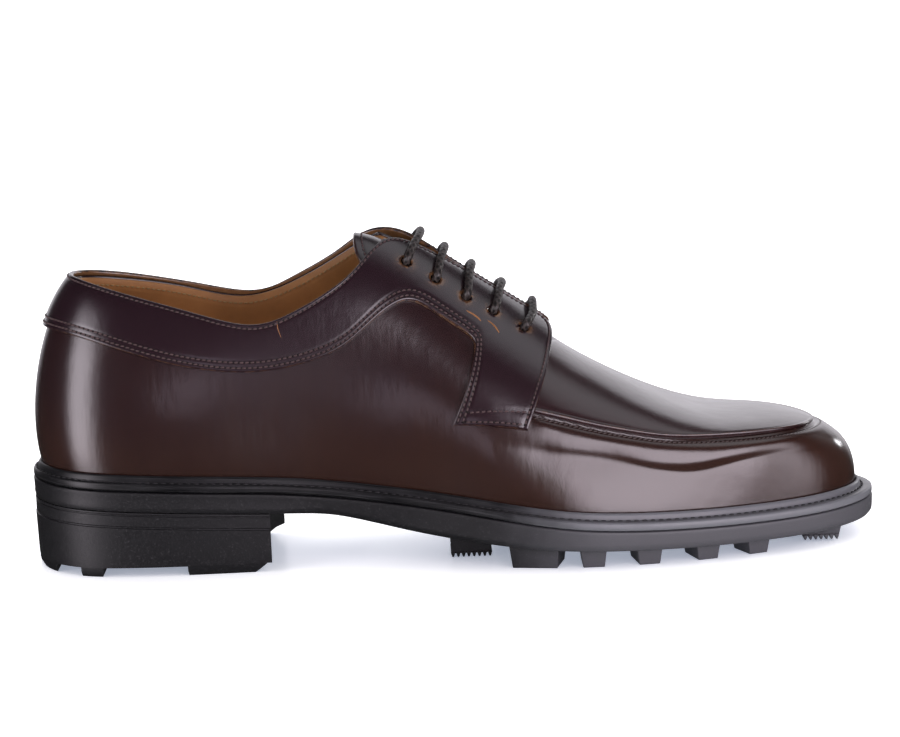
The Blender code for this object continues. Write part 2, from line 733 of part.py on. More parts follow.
def lug_block(x, y, length, width, turn, top):
    """Corner points and faces of one tapered lug, wider at the sole than at the floor."""
    lift = TOE_LIFT * max(x - TOE_LIFT_START, 0.0) ** 2
    points = []
    for level, draft in ((lift, LUG_DRAFT), (top, 0.0)):
        for along, across in ((-1, -1), (1, -1), (1, 1), (-1, 1)):
            u = along * (length / 2.0 - draft)
            v = across * (width / 2.0 - draft)
            points.append((x + u * math.cos(turn) - v * math.sin(turn),
                           y + u * math.sin(turn) + v * math.cos(turn), level))
    faces = ((3, 2, 1, 0), (4, 5, 6, 7), (0, 1, 5, 4), (1, 2, 6, 5), (2, 3, 7, 6), (3, 0, 4, 7))
    return points, faces


def lug_places():
    """Place, size and turn of every lug under the forefoot."""
    places = [(x, y, length, width, 0.0) for x, y, length, width in INNER_LUGS]
    for lateral_x, medial_x, length, width in EDGE_LUGS:
        for side, x in ((LATERAL, lateral_x), (MEDIAL, medial_x)):
            near = np.where(EDGE[:, 1] * side > 0.0, np.abs(EDGE[:, 0] - x), 1e9).argmin()
            inward = EDGE_IN[near]
            turn = math.atan2(inward[1], inward[0]) - math.pi / 2.0
            middle = EDGE[near] + inward * (EDGE_LUG_SETBACK + width / 2.0)
            places.append((middle[0], middle[1], length, width, turn))
    return places


def make_outsole(collection, cutters):
    """The rubber outsole: a slab under the welt with bevelled lower edge, joined with its lugs."""
    plan = sole_loop(SOLE_COLUMNS)
    top = -WELT_EDGE - GAP
    edge_low = sole_ring(plan, 2.0, 2, 0.0)
    edge_high = sole_ring(plan, 0.5, 1, top)
    rings = (
        spine_ring(plan, 2, 0.0),
        half_ring(spine_ring(plan, 2, 0.0), edge_low),
        edge_low,
        sole_ring(plan, 0.3, 2, 1.6),
        sole_ring(plan, 0.0, 1, top - 0.7),
        edge_high,
        half_ring(spine_ring(plan, 1, top), edge_high),
        spine_ring(plan, 1, top),
    )
    outsole = new_object("outsole", collection, (0.03, 0.03, 0.032), 0.7)
    grid_solid(outsole, np.stack(rings, 1), True)
    points, faces = [], []
    for x, y, length, width, turn in lug_places():
        root = float(from_table(SOLE_LINE, 2, np.array([x]))[0]) + 1.4
        block, sides = lug_block(x, y, length, width, turn, root)
        faces.extend(tuple(corner + len(points) for corner in side) for side in sides)
        points.extend(block)
    lugs = new_object("lug_blocks", cutters, (0.03, 0.03, 0.032), 0.7)
    fill_mesh(lugs, points, faces)
    join = outsole.modifiers.new("lugs", "BOOLEAN")
    join.operation = "UNION"
    join.solver = "EXACT"
    join.object = lugs
    return outsole


def heel_ring(height, setback, back):
    """One ring of the heel block: the outline behind the breast, closed by the hollow curve of the breast."""
    curve = set_in(setback)
    half = len(curve) // 2
    breast = HEEL_BREAST + back
    lateral = curve[:half]
    medial = curve[half:]
    first = np.argmin(np.abs(lateral[:, 0] - breast))
    last = half + np.argmin(np.abs(medial[:, 0] - breast))
    order = np.concatenate((np.arange(last, len(curve)), np.arange(0, first + 1)))
    path = curve[order]
    walked = np.concatenate(([0.0], np.cumsum(np.hypot(*np.diff(path, axis=0).T))))
    even = np.linspace(0.0, walked[-1], HEEL_RING_POINTS)
    x = np.interp(even, walked, path[:, 0])
    y = np.interp(even, walked, path[:, 1])
    share = np.linspace(0.0, 1.0, BREAST_POINTS + 2)[1:-1]
    front_x = x[-1] + (x[0] - x[-1]) * share - BREAST_HOLLOW * 4.0 * share * (1.0 - share)
    front_y = y[-1] + (y[0] - y[-1]) * share
    x = np.concatenate((x, front_x))
    y = np.concatenate((y, front_y))
    z = np.full(len(x), height) if height >= 0.0 else from_table(SOLE_LINE, 2, x) - GAP + height
    return np.stack((x, y, z), 1)


def box_between(low, high):
    """Corner points and faces of a box between two corners."""
    points = [(x, y, z) for z in (low[2], high[2]) for x, y in
              ((low[0], low[1]), (high[0], low[1]), (high[0], high[1]), (low[0], high[1]))]
    faces = ((3, 2, 1, 0), (4, 5, 6, 7), (0, 1, 5, 4), (1, 2, 6, 5), (2, 3, 7, 6), (3, 0, 4, 7))
    return points, faces


def make_heel(collection, cutters):
    """The heel block: rings from the floor to the outsole, with notches across its tread."""
    rings = [heel_ring(*row) for row in HEEL_RINGS]
    count = len(rings[0])
    faces = []
    for level in range(len(rings) - 1):
        for index in range(count):
            beside = (index + 1) % count
            faces.append((level * count + index, level * count + beside,
                          (level + 1) * count + beside, (level + 1) * count + index))
    faces.append(tuple(range(count))[::-1])
    faces.append(tuple((len(rings) - 1) * count + index for index in range(count)))
    heel = new_object("heel", collection, (0.03, 0.03, 0.032), 0.7)
    fill_mesh(heel, np.concatenate(rings), faces)
    points, sides = [], []
    for start, end in HEEL_NOTCHES:
        block, block_faces = box_between((start, -60.0, -5.0), (end, 60.0, HEEL_NOTCH_DEPTH))
        sides.extend(tuple(corner + len(points) for corner in face) for face in block_faces)
        points.extend(block)
    notches = new_object("heel_notches", cutters, (0.5, 0.5, 0.5), 0.5)
    fill_mesh(notches, points, sides)
    points, sides = [], []
    for x, y, length, width in HEEL_STUDS:
        block, block_faces = lug_block(x, y, length, width, 0.0, HEEL_NOTCH_DEPTH + 1.0)
        sides.extend(tuple(corner + len(points) for corner in face) for face in block_faces)
        points.extend(block)
    studs = new_object("heel_studs", cutters, (0.5, 0.5, 0.5), 0.5)
    fill_mesh(studs, points, sides)
    for tool, operation in ((notches, "DIFFERENCE"), (studs, "UNION")):
        cut = heel.modifiers.new(tool.name, "BOOLEAN")
        cut.operation = operation
        cut.solver = "EXACT"
        cut.object = tool
    return heel


def bar_path(rung, across, crossing):
    """Middle line of one lace bar: up out of one eyelet, over the slit, and down into the other."""
    spread = np.array((1.0, 1.0, 0.84, 0.6, 0.32, 0.04))
    rise = np.array((0.4, 2.9, 3.35, 3.35, 3.35, 3.6))
    along = crossing + (rung - crossing) * spread ** 1.3
    pieces = [facing_at(side, along, across * spread, rise) for side in (LATERAL, MEDIAL)]
    return np.concatenate((pieces[0], pieces[1][::-1]))


def make_lace_bar(collection, name, place):
    """A lace bar: a round cord along its path, closed at both ends."""
    path = bar_path(*place)
    curve = bpy.data.curves.new(name, "CURVE")
    curve.dimensions = "3D"
    curve.bevel_depth = LACE_RADIUS * MM
    curve.bevel_resolution = 1
    curve.use_fill_caps = True
    spline = curve.splines.new("POLY")
    spline.points.add(len(path) - 1)
    for knot, place in zip(spline.points, path * MM):
        knot.co = (*place, 1.0)
    made = bpy.data.objects.new(name, curve)
    collection.objects.link(made)
    material = bpy.data.materials.new(name)
    material.use_nodes = True
    shader = material.node_tree.nodes["Principled BSDF"]
    shader.inputs["Base Color"].default_value = (0.05, 0.045, 0.045, 1.0)
    shader.inputs["Roughness"].default_value = 0.6
    curve.materials.append(material)
    return made


def punch_eyelets(facing, side, cutters):
    """Cut the facing's five eyelets square to its surface."""
    points, faces = [], []
    corners = 10
    for rung, across, crossing in EYELETS:
        low = Vector(facing_at(side, np.array([rung]), across, -2.0)[0])
        high = Vector(facing_at(side, np.array([rung]), across, 4.0)[0])
        turn = (high - low).to_track_quat("Z", "Y")
        first = len(points)
        for middle in (low, high):
            for step in range(corners):
                angle = 2.0 * math.pi * step / corners
                rim = Vector((EYELET_RADIUS * math.cos(angle), EYELET_RADIUS * math.sin(angle), 0.0))
                points.append(tuple(middle + turn @ rim))
        faces.extend((first + step, first + (step + 1) % corners, first + corners + (step + 1) % corners,
                      first + corners + step) for step in range(corners))
        faces.append(tuple(first + step for step in range(corners))[::-1])
        faces.append(tuple(first + corners + step for step in range(corners)))
    punch = new_object(facing.name + "_punch", cutters, (0.5, 0.5, 0.5), 0.5)
    fill_mesh(punch, points, faces)
    cut = facing.modifiers.new("eyelets", "BOOLEAN")
    cut.operation = "DIFFERENCE"
    cut.solver = "EXACT"
    cut.object = punch


def main():
    for old in list(bpy.data.objects):
        bpy.data.objects.remove(old)
    parts = bpy.data.collections.new(OBJECT_NAME)
    cutters = bpy.data.collections.new(OBJECT_NAME + "_cutters")
    for collection in (parts, cutters):
        bpy.context.scene.collection.children.link(collection)
    make_upper(parts)
    make_tongue(parts)
    make_insole(parts)
    make_welt(parts)
    make_outsole(parts, cutters)
    make_heel(parts, cutters)
    for name, side in (("facing_lateral", LATERAL), ("facing_medial", MEDIAL)):
        facing = make_facing(parts, name, side)
        punch_eyelets(facing, side, cutters)
    make_apron(parts)
    for number, place in enumerate(EYELETS, start=1):
        make_lace_bar(parts, "lace_bar_%d" % number, place)
    for cutter in cutters.objects:
        cutter.hide_render = True
        cutter.display_type = "WIRE"


main()
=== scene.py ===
"""Looks of the right-foot apron derby shoe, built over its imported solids.

Tables and sizes are in millimetres and MM turns them into metres as each mesh is made. +X runs from heel to
toe, -Y is the outer (lateral) side and the shoe stands on z = 0. The last is a loop of upright ribs. A place
on it is a turn, the length walked round the loop from the heel's back along the lateral side to the toe and
back along the medial side, and a share, the way up the rib from the welt to the ridge over the foot.
"""

import json
import math

import bmesh
import bpy
import numpy as np
from mathutils import Matrix, Vector

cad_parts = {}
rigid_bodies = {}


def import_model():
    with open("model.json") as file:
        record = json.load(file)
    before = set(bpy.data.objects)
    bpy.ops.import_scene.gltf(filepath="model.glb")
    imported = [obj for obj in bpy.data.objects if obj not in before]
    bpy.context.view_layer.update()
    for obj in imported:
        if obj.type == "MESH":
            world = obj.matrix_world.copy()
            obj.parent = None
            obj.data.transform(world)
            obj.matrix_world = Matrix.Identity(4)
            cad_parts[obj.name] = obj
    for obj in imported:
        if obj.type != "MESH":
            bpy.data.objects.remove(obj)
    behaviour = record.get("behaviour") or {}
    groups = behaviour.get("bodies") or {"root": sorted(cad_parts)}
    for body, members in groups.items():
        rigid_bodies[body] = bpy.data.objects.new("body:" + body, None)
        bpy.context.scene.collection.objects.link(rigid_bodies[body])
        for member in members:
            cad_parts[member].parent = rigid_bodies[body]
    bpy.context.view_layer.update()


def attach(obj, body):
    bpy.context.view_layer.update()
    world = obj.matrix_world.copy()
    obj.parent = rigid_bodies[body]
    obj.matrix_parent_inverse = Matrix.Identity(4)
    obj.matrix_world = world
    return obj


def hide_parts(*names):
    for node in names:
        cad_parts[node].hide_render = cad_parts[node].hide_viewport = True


MM = 0.001
LATERAL = -1.0
MEDIAL = 1.0

# Sizes shared with the solids
SOLE_LENGTH = 306.0
SOLE_WIDTH = 109.0
GAP = 0.3
UPPER_WALL = 2.2
OVERLAY_GAP = 0.45
FACING_THICK = 1.4
APRON_THICK = 1.0
TONGUE_THICK = 1.8
TONGUE_DROP = 1.5
INSOLE_THICK = 3.0
INSOLE_CLEAR = 1.0
WELT_EDGE = 3.0
WELT_REACH = 15.0
LIP_HEIGHT = 2.4
LIP_WIDTH = 1.7
HEEL_BREAST = -66.0
LACE_RADIUS = 1.5
EYELET_RADIUS = 2.05

# Sizes of the finished pieces alone
SKIN_DEPTH = 1.15
LINING_DEPTH = 1.25
TONGUE_CURVE = 5.0
FACING_ROUND = 0.65  # radii of the cut edges
APRON_ROUND = 0.6
TONGUE_ROUND = 0.7
APRON_SEAM_START = (198.0, 204.0)  # stations over which the sewn groove sets in
APRON_TOE = (275.0, 330.0)  # stations over which its edge thins towards the toe
HEEL_SEAT = (-62.0, -40.0)  # x over which the outsole's bevel grows to its full size
HEEL_BEVEL = 0.25  # share of it that is left over the heel
LACE_BRAID = 3.0
LACE_STEP = 0.28
LACE_DEPTH = 2.7

# Outsole outline seen from above, from the heel's back along the lateral side to the toe and back
OUTLINE = (  # x, y
    (-153.0, 0.0),
    (-147.9, -18.0),
    (-134.5, -31.4),
    (-115.0, -36.3),
    (-85.0, -37.0),
    (-50.0, -36.0),
    (-18.0, -39.5),
    (12.0, -48.4),
    (38.0, -54.2),
    (62.0, -53.9),
    (90.0, -48.7),
    (117.0, -38.9),
    (137.0, -27.0),
    (149.0, -13.0),
    (153.0, 1.0),
    (150.0, 16.0),
    (140.5, 31.0),
    (123.0, 43.5),
    (99.0, 51.5),
    (72.0, 54.5),
    (45.0, 50.5),
    (18.0, 41.5),
    (-10.0, 33.5),
    (-40.0, 31.2),
    (-70.0, 33.4),
    (-95.0, 35.7),
    (-115.0, 36.3),
    (-134.5, 31.4),
    (-147.9, 18.0),
)

# Heights along the shoe: the flat of the welt, and the underside of the outsole between the lugs
SOLE_LINE = (  # x, welt top, outsole underside
    (-153.0, 36.0, 25.7),
    (-120.0, 34.4, 24.0),
    (-90.0, 32.8, 22.4),
    (-60.0, 31.0, 20.9),
    (-45.0, 29.5, 19.8),
    (-31.0, 27.8, 16.9),
    (-17.0, 26.0, 13.6),
    (0.0, 23.7, 10.6),
    (20.0, 20.6, 8.2),
    (41.0, 17.8, 6.7),
    (62.0, 16.4, 6.0),
    (83.0, 15.8, 5.6),
    (105.0, 15.6, 5.4),
    (128.0, 15.8, 5.5),
    (153.0, 16.8, 6.3),
)
WELT_TOP = 1
UNDERSIDE = 2

# Setback of the feather edge, where the upper meets the welt, from the outsole outline
FEATHER_SETBACK = (  # x, setback
    (-153.0, 3.8),
    (-115.0, 3.9),
    (-60.0, 4.1),
    (-10.0, 4.4),
    (40.0, 5.9),
    (90.0, 6.4),
    (153.0, 6.3),
)

# Ridge of the last over the foot
RIDGE = (  # x, z
    (-122.0, 110.5),
    (-97.0, 112.0),
    (-73.0, 115.8),
    (-50.0, 119.2),
    (-25.0, 118.0),
    (-10.0, 109.8),
    (8.0, 97.2),
    (22.0, 86.2),
    (36.7, 73.9),
    (51.0, 64.5),
    (65.6, 56.5),
    (80.0, 49.9),
    (94.0, 45.6),
    (108.0, 44.4),
)

# Fans of ribs at the two ends of the last, and the straight body between them
HEEL_PIVOT = -122.0
HEEL_FAN = 75.0
BODY = 173.0
TOE_FAN = 96.0
SIDE_LENGTH = HEEL_FAN + BODY + TOE_FAN
LOOP = 2.0 * SIDE_LENGTH
SPINE_SWING = 1.5

# Shape of the ribs: how far the wall swells past the feather, the handle's height and the shoulder's width
RIBS = (  # station, swell, handle height, lateral shoulder, medial shoulder, medial swell
    (0.0, 7.0, 22.0, 23.0, 23.0, 7.0),
    (25.0, 6.6, 22.5, 25.0, 25.0, 6.6),
    (50.0, 5.8, 24.0, 27.5, 27.5, 5.8),
    (75.0, 5.0, 25.5, 28.5, 28.5, 5.4),
    (99.0, 4.4, 27.0, 29.0, 28.0, 6.0),
    (122.0, 4.5, 32.0, 27.5, 26.5, 6.6),
    (147.0, 5.2, 37.0, 23.0, 22.5, 7.0),
    (172.0, 5.6, 37.0, 22.0, 22.0, 6.6),
    (192.0, 5.2, 33.0, 24.0, 24.0, 5.4),
    (207.0, 4.4, 29.5, 28.0, 28.0, 4.4),
    (222.0, 3.4, 26.5, 34.0, 34.0, 3.4),
    (248.0, 2.0, 24.5, 46.0, 46.0, 2.0),
    (272.0, 1.4, 23.5, 49.0, 49.0, 1.4),
    (296.0, 1.2, 22.5, 44.0, 44.0, 1.2),
    (320.0, 1.2, 21.0, 34.0, 34.0, 1.2),
    (344.0, 1.2, 20.5, 28.0, 28.0, 1.2),
)

# Top edge of the upper below its collar band, up to the top of the facing
TOPLINE = (  # station, lateral z, medial z
    (0.0, 104.0, 104.0),
    (25.0, 102.8, 103.1),
    (50.0, 99.2, 101.0),
    (75.0, 93.4, 96.8),
    (99.0, 87.0, 92.0),
    (115.5, 89.8, 96.8),
    (131.0, 97.8, 105.2),
    (142.0, 106.6, 112.0),
    (150.0, 115.0, 116.0),
)
THROAT_HALF = 8.0
THROAT_STATION = 204.0
THROAT_ROUND = 12.0

# The collar band and facing as rungs from the heel's back to the tab on the vamp, each from top to lower edge
FACING = (  # top station, top z, medial rise, half slit, low station, low z, lateral lift, medial lift
    (0.0, 104.8, 0.0, 0.0, 0.0, 86.8, 0.0, 0.0),
    (25.0, 103.6, 0.3, 0.0, 25.0, 86.4, 0.0, 0.0),
    (50.0, 100.0, 1.8, 0.0, 50.0, 81.8, 0.0, 0.0),
    (75.0, 94.2, 3.4, 0.0, 75.5, 74.9, 0.0, 0.0),
    (99.0, 87.9, 5.0, 0.0, 98.0, 71.6, 0.0, 0.0),
    (115.5, 90.7, 7.0, 0.0, 114.5, 72.7, 0.0, 0.0),
    (131.0, 98.6, 7.6, 0.0, 130.0, 77.0, 0.0, 0.0),
    (142.0, 107.4, 5.6, 0.0, 141.5, 84.4, 0.1, 1.0),
    (152.4, 140.0, 0.0, 8.4, 152.0, 91.9, 0.3, 2.4),
    (166.0, 140.0, 0.0, 4.2, 160.5, 92.7, 0.8, 1.6),
    (182.0, 140.0, 0.0, 2.8, 170.5, 86.5, 1.7, 1.7),
    (195.6, 140.0, 0.0, 2.8, 179.0, 80.4, 3.2, 3.2),
    (204.8, 76.6, 0.0, 2.8, 180.6, 75.6, 4.4, 4.4),
    (205.4, 69.0, 0.0, 2.8, 178.6, 67.4, 2.6, 2.6),
    (202.2, 58.6, 0.0, 2.8, 175.4, 58.4, 0.8, 0.8),
    (198.2, 48.6, 0.0, 2.8, 172.0, 50.8, 0.0, 0.0),
)
LAST_RUNG = len(FACING) - 1.0

# The apron as rungs from its seam up to the ridge
APRON = (  # seam station, seam z, ridge station
    (197.5, 54.8, 207.5),
    (201.5, 53.7, 211.5),
    (209.0, 51.7, 216.0),
    (222.0, 48.2, 226.0),
    (236.0, 45.2, 238.0),
    (250.0, 43.0, 251.0),
    (272.0, 41.7, 272.0),
    (296.0, 41.5, 296.0),
    (320.0, 41.2, 320.0),
    (344.0, 41.0, 344.0),
)

TONGUE_TOP = 139.5
TONGUE_FOOT = 214.0
TONGUE_HALF_TOP = 20.0
TONGUE_HALF_FOOT = 13.0

# Each pair of eyelets and its lace bar, in the facing's own measure
EYELETS = (  # rung and share across of the eyelet, rung where the bar crosses the slit
    (8.45, 0.475, 8.58),
    (9.36, 0.58, 9.17),
    (10.19, 0.592, 9.75),
    (11.03, 0.545, 10.42),
    (12.2, 0.352, 11.2),
)

# Scuffs on the outer facing, in the facing's own measure
SCUFFS = (  # rungs, shares across, half width
    ((10.40, 10.64, 10.84, 11.01), (0.774, 0.764, 0.769, 0.784), 0.42),
    ((11.17, 11.60, 11.88, 12.10), (0.719, 0.704, 0.688, 0.668), 0.42),
    ((4.73, 4.76, 4.84), (0.05, 0.21, 0.41), 0.12),
)
SCUFF_DEPTH = 0.05

# Tread lugs
EDGE_LUGS = (  # lateral x, medial x, length, width
    (25.5, 22.0, 18.0, 17.0),
    (47.5, 45.5, 9.6, 17.0),
    (68.0, 67.0, 9.4, 17.0),
    (89.5, 89.0, 9.2, 16.0),
    (109.0, 109.5, 9.0, 14.0),
)
EDGE_LUG_SETBACK = 4.6
INNER_LUGS = (  # x, y, length, width, toothed
    (5.0, -16.0, 16.0, 16.0, True),
    (5.0, 9.0, 16.0, 16.0, True),
    (36.0, 0.0, 9.0, 26.0, False),
    (57.5, 1.0, 9.0, 30.0, False),
    (78.5, 1.5, 9.0, 30.0, False),
    (99.0, 2.0, 8.5, 26.0, False),
    (131.0, 2.0, 15.0, 50.0, True),
)
LUG_DRAFT = 1.0
LUG_SINK = 1.4
TOE_LIFT_START = 96.0
TOE_LIFT = 0.0007
TOOTH_PITCH = 1.9
TOOTH_HEIGHT = 1.3

# Heel block and the lugs of its tread
HEEL_NOTCH_DEPTH = 3.6
BREAST_HOLLOW = 8.0
BREAST_SLANT = -1.8  # below zero: the breast stands further forward on the inner side
BREAST_CHAMFER = 5.4
HEEL_LUG_CHAMFER = 0.5
HEEL_LUGS = (  # x from, x to
    (-152.6, -143.5),
    (-134.5, -126.0),
    (-96.0, -66.6),
)
FRONT_LUG = HEEL_LUGS[-1]
HEEL_STUDS = (  # x, y, length, width
    (-111.0, -14.0, 12.0, 10.0),
    (-111.0, 14.0, 12.0, 10.0),
)

# Walking creases of the worn leather: one soft trough along a line on the wall of each side
CREASES = {  # station, z, depth
    LATERAL: (
        (186.0, 43.4, 0.0),
        (194.0, 42.2, 0.8),
        (203.0, 40.9, 1.8),
        (209.0, 39.8, 2.1),
        (216.0, 38.8, 2.3),
        (225.0, 37.4, 2.35),
        (233.0, 35.4, 2.2),
        (240.0, 33.4, 2.0),
        (248.0, 31.9, 1.7),
        (256.0, 31.3, 1.6),
        (263.0, 31.9, 1.6),
        (274.0, 33.5, 1.7),
        (286.0, 34.6, 1.75),
        (302.0, 35.0, 1.5),
        (318.0, 35.1, 0.8),
        (330.0, 35.1, 0.0),
    ),
    MEDIAL: (
        (190.0, 43.2, 0.00),
        (205.0, 41.5, 0.36),
        (220.0, 39.0, 0.54),
        (235.0, 35.6, 0.66),
        (250.0, 33.4, 0.72),
        (262.0, 33.7, 0.66),
        (276.0, 35.2, 0.48),
        (292.0, 36.0, 0.24),
        (312.0, 36.2, 0.00),
    ),
}
CREASE_ABOVE = 3.2  # width of a trough above its line
CREASE_BELOW = 13.0  # and below it

# Sewing
STITCH_PITCH = 1.9
STITCH_LENGTH = 1.5
THREAD_RADIUS = 0.31
HOLE_RADIUS = 0.43
TOP_ROW = 1.7  # distances of the rows from the edges
LOW_ROWS = (1.4, 3.3)
TAB_ROWS = (1.6, 6.4)
LINING_ROW = 2.6
TONGUE_ROW = 3.2
ROW_BED = 0.14  # how deep the thread lies in the leather
GROOVE_DEPTH = 0.16
TAB_GROOVE_DEPTH = 0.14
GROOVE_HALF = 0.55
APRON_SEWN_FROM = 200.5
APRON_PITCH = 1.75
APRON_STITCH = (1.9, 0.36, 0.42)  # length, radius, slant
WELT_PITCH = 2.9
WELT_STITCH = (2.3, 0.34, 0.12)

# Grid sizes
EDGE_POINTS = 1440
RIB_STEP = 0.5
LOOP_COLUMNS = 600
UPPER_ROWS = 108
LINING_COLUMNS = 300
LINING_ROWS = 34
BACK_ROWS = 14
FACING_COLUMNS = 290
FACING_MIDDLE_ROWS = 26
APRON_COLUMNS = 150
APRON_MIDDLE_ROWS = 34
TONGUE_COLUMNS = 90
TONGUE_ROWS = 61
INSOLE_COLUMNS = 240
SOLE_COLUMNS = 560
HEEL_COLUMNS = 90
BREAST_COLUMNS = 25
LUG_COLUMNS = 14
LUG_ROWS = 15
TUBE_SIDES = 6
STITCH_STEPS = 7
SCUFF_STEPS = 13
HOLE_SIDES = 8
LACE_SIDES = 20

# Looks that several materials share
LEATHER_ROUGHNESS = 0.42
RAW_LEATHER = (0.30, 0.15, 0.06)
RUBBER = (0.010, 0.010, 0.0115)
RUBBER_ROUGHNESS = 0.46
FOREFOOT_LIGHT_X = (5.0, 55.0)  # x over which the sole and welt turn paler with painted light


def natural_cubic(knots, values, at):
    """Natural cubic spline through (knots, values), read at the places in `at`."""
    knots = np.asarray(knots, float)
    values = np.asarray(values, float)
    at = np.asarray(at, float)
    count = len(knots)
    step = np.diff(knots)
    slope = np.diff(values) / step
    system = np.eye(count)
    right = np.zeros(count)
    inner = np.arange(1, count - 1)
    system[inner, inner - 1] = step[:-1]
    system[inner, inner] = 2.0 * (step[:-1] + step[1:])
    system[inner, inner + 1] = step[1:]
    right[1:-1] = 6.0 * np.diff(slope)
    bend = np.linalg.solve(system, right)
    cell = np.clip(np.searchsorted(knots, at) - 1, 0, count - 2)
    along = at - knots[cell]
    width = step[cell]
    first = slope[cell] - width * (2.0 * bend[cell] + bend[cell + 1]) / 6.0
    third = (bend[cell + 1] - bend[cell]) / (6.0 * width)
    return values[cell] + along * (first + along * (bend[cell] / 2.0 + along * third))


def column(table, index):
    """One column of a table as an array."""
    return np.array([row[index] for row in table], float)


def from_table(table, index, at):
    """A table's column, read smoothly along its first column."""
    return natural_cubic(column(table, 0), column(table, index), at)


def both_sides(table, lateral, medial, turn):
    """A rib table read round the whole loop, so the two sides join smoothly at heel and toe."""
    stations = column(table, 0)
    knots = np.concatenate((stations, LOOP - stations[-2:0:-1]))
    values = np.concatenate((column(table, lateral), column(table, medial)[-2:0:-1]))
    knots = np.concatenate((knots - LOOP, knots, knots + LOOP))
    return natural_cubic(knots, np.tile(values, 3), turn)


def soft_step(value, low, high):
    """0 below low, 1 above high, and a smooth S between them."""
    share = np.clip((value - low) / (high - low), 0.0, 1.0)
    return share * share * (3.0 - 2.0 * share)


def bell(value, middle, half_width):
    """1 at the middle, falling away on both sides as a bell curve."""
    return np.exp(-((value - middle) / half_width) ** 2)


def walked(path):
    """Length walked along a path up to each of its points."""
    return np.concatenate(([0.0], np.cumsum(np.linalg.norm(np.diff(path, axis=0), axis=1))))


def read_path(at, length, path):
    """Points of a path at lengths walked along it, straight between its own points."""
    return np.stack([np.interp(at, length, line) for line in path.T], 1)


def smooth_path(at, length, path):
    """Points of a path at lengths walked along it, on a smooth curve through its own points."""
    return np.stack([natural_cubic(length, line, at) for line in path.T], 1)


def unit(vectors):
    """Vectors made one long."""
    return vectors / np.linalg.norm(vectors, axis=-1, keepdims=True)


def closed_outline(points, count):
    """Smooth closed curve through the outline's points, as evenly spaced points."""
    path = np.array(points, float)
    around = np.vstack((path[-4:], path, path[:5]))
    chord = walked(around)
    curve = smooth_path(np.linspace(chord[4], chord[4 + len(path)], 6000), chord, around)
    length = walked(curve)
    curve = read_path(np.linspace(0.0, length[-1], count, endpoint=False), length, curve)
    middle = (curve.max(0) + curve.min(0)) / 2.0
    return (curve - middle) * np.array((SOLE_LENGTH, SOLE_WIDTH)) / (curve.max(0) - curve.min(0))


def outline_inward(curve):
    """Unit directions into the outline, square to it."""
    tangent = unit(np.roll(curve, -1, axis=0) - np.roll(curve, 1, axis=0))
    return np.stack((-tangent[:, 1], tangent[:, 0]), 1)


EDGE = closed_outline(OUTLINE, EDGE_POINTS)
EDGE_IN = outline_inward(EDGE)
FEATHER_IN = from_table(FEATHER_SETBACK, 1, EDGE[:, 0])


def set_in(setback):
    """The outline moved inwards by a distance, which may change along it."""
    return EDGE + EDGE_IN * np.broadcast_to(setback, len(EDGE))[:, None]


def rib_plan(turn):
    """Foot point on the spine and outward direction of each rib, seen from above."""
    side = np.where(turn <= SIDE_LENGTH, LATERAL, MEDIAL)
    station = np.where(side < 0.0, turn, LOOP - turn)
    heel = np.clip(station / HEEL_FAN, 0.0, 1.0)
    toe = np.clip((SIDE_LENGTH - station) / TOE_FAN, 0.0, 1.0)
    heel_turn = math.pi / 2.0 * heel * (2.0 - heel)
    toe_turn = math.pi / 2.0 * toe * (2.0 - toe)
    body = np.clip(station - HEEL_FAN, 0.0, BODY)
    spine_x = HEEL_PIVOT + HEEL_FAN / 3.0 * heel ** 3 + body + TOE_FAN / 3.0 * (1.0 - toe ** 3)
    spine_y = SPINE_SWING * (spine_x - HEEL_PIVOT) / (HEEL_FAN / 3.0 + BODY + TOE_FAN / 3.0)
    out_x = np.cos(toe_turn) - np.cos(heel_turn)
    out_y = side * np.sin(heel_turn) * np.sin(toe_turn)
    return spine_x, spine_y, out_x, out_y


def reach(plan, curve):
    """Distance from each spine point, along its rib's direction, to a closed curve."""
    spine_x, spine_y, out_x, out_y = plan
    rel_x = curve[None, :, 0] - spine_x[:, None]
    rel_y = curve[None, :, 1] - spine_y[:, None]
    across = out_x[:, None] * rel_y - out_y[:, None] * rel_x
    along = out_x[:, None] * rel_x + out_y[:, None] * rel_y
    following = np.roll(across, -1, axis=1)
    hit = np.argmax((across * following <= 0.0) & (along > 0.0), axis=1)
    row = np.arange(len(spine_x))
    share = across[row, hit] / (across[row, hit] - following[row, hit])
    return along[row, hit] * (1.0 - share) + np.roll(along, -1, axis=1)[row, hit] * share


def rib_table():
    """Plan and section handles of the ribs, in rows at even turns round the loop."""
    turn = np.arange(0.0, LOOP, RIB_STEP)
    plan = rib_plan(turn)
    spine_x, _, out_x, _ = plan
    foot = reach(plan, set_in(FEATHER_IN))
    foot_z = from_table(SOLE_LINE, WELT_TOP, spine_x + foot * out_x) + GAP
    top = from_table(RIDGE, 1, spine_x)
    slope = from_table(RIDGE, 1, spine_x + 0.5) - from_table(RIDGE, 1, spine_x - 0.5)
    swell = both_sides(RIBS, 1, 5, turn)
    handle = both_sides(RIBS, 2, 2, turn)
    shoulder = both_sides(RIBS, 3, 4, turn)
    shoulder_z = top + slope * out_x * shoulder
    handles = (foot, foot + swell, shoulder, foot_z, foot_z + handle, shoulder_z, top)
    return turn, np.stack(plan + handles, 1)


RIB_TURNS, RIB_ROWS = rib_table()


def ribs_at(turn):
    """Rows of the rib table, read between its turns and round the loop."""
    return np.stack([np.interp(turn, RIB_TURNS, values, period=LOOP) for values in RIB_ROWS.T], -1)


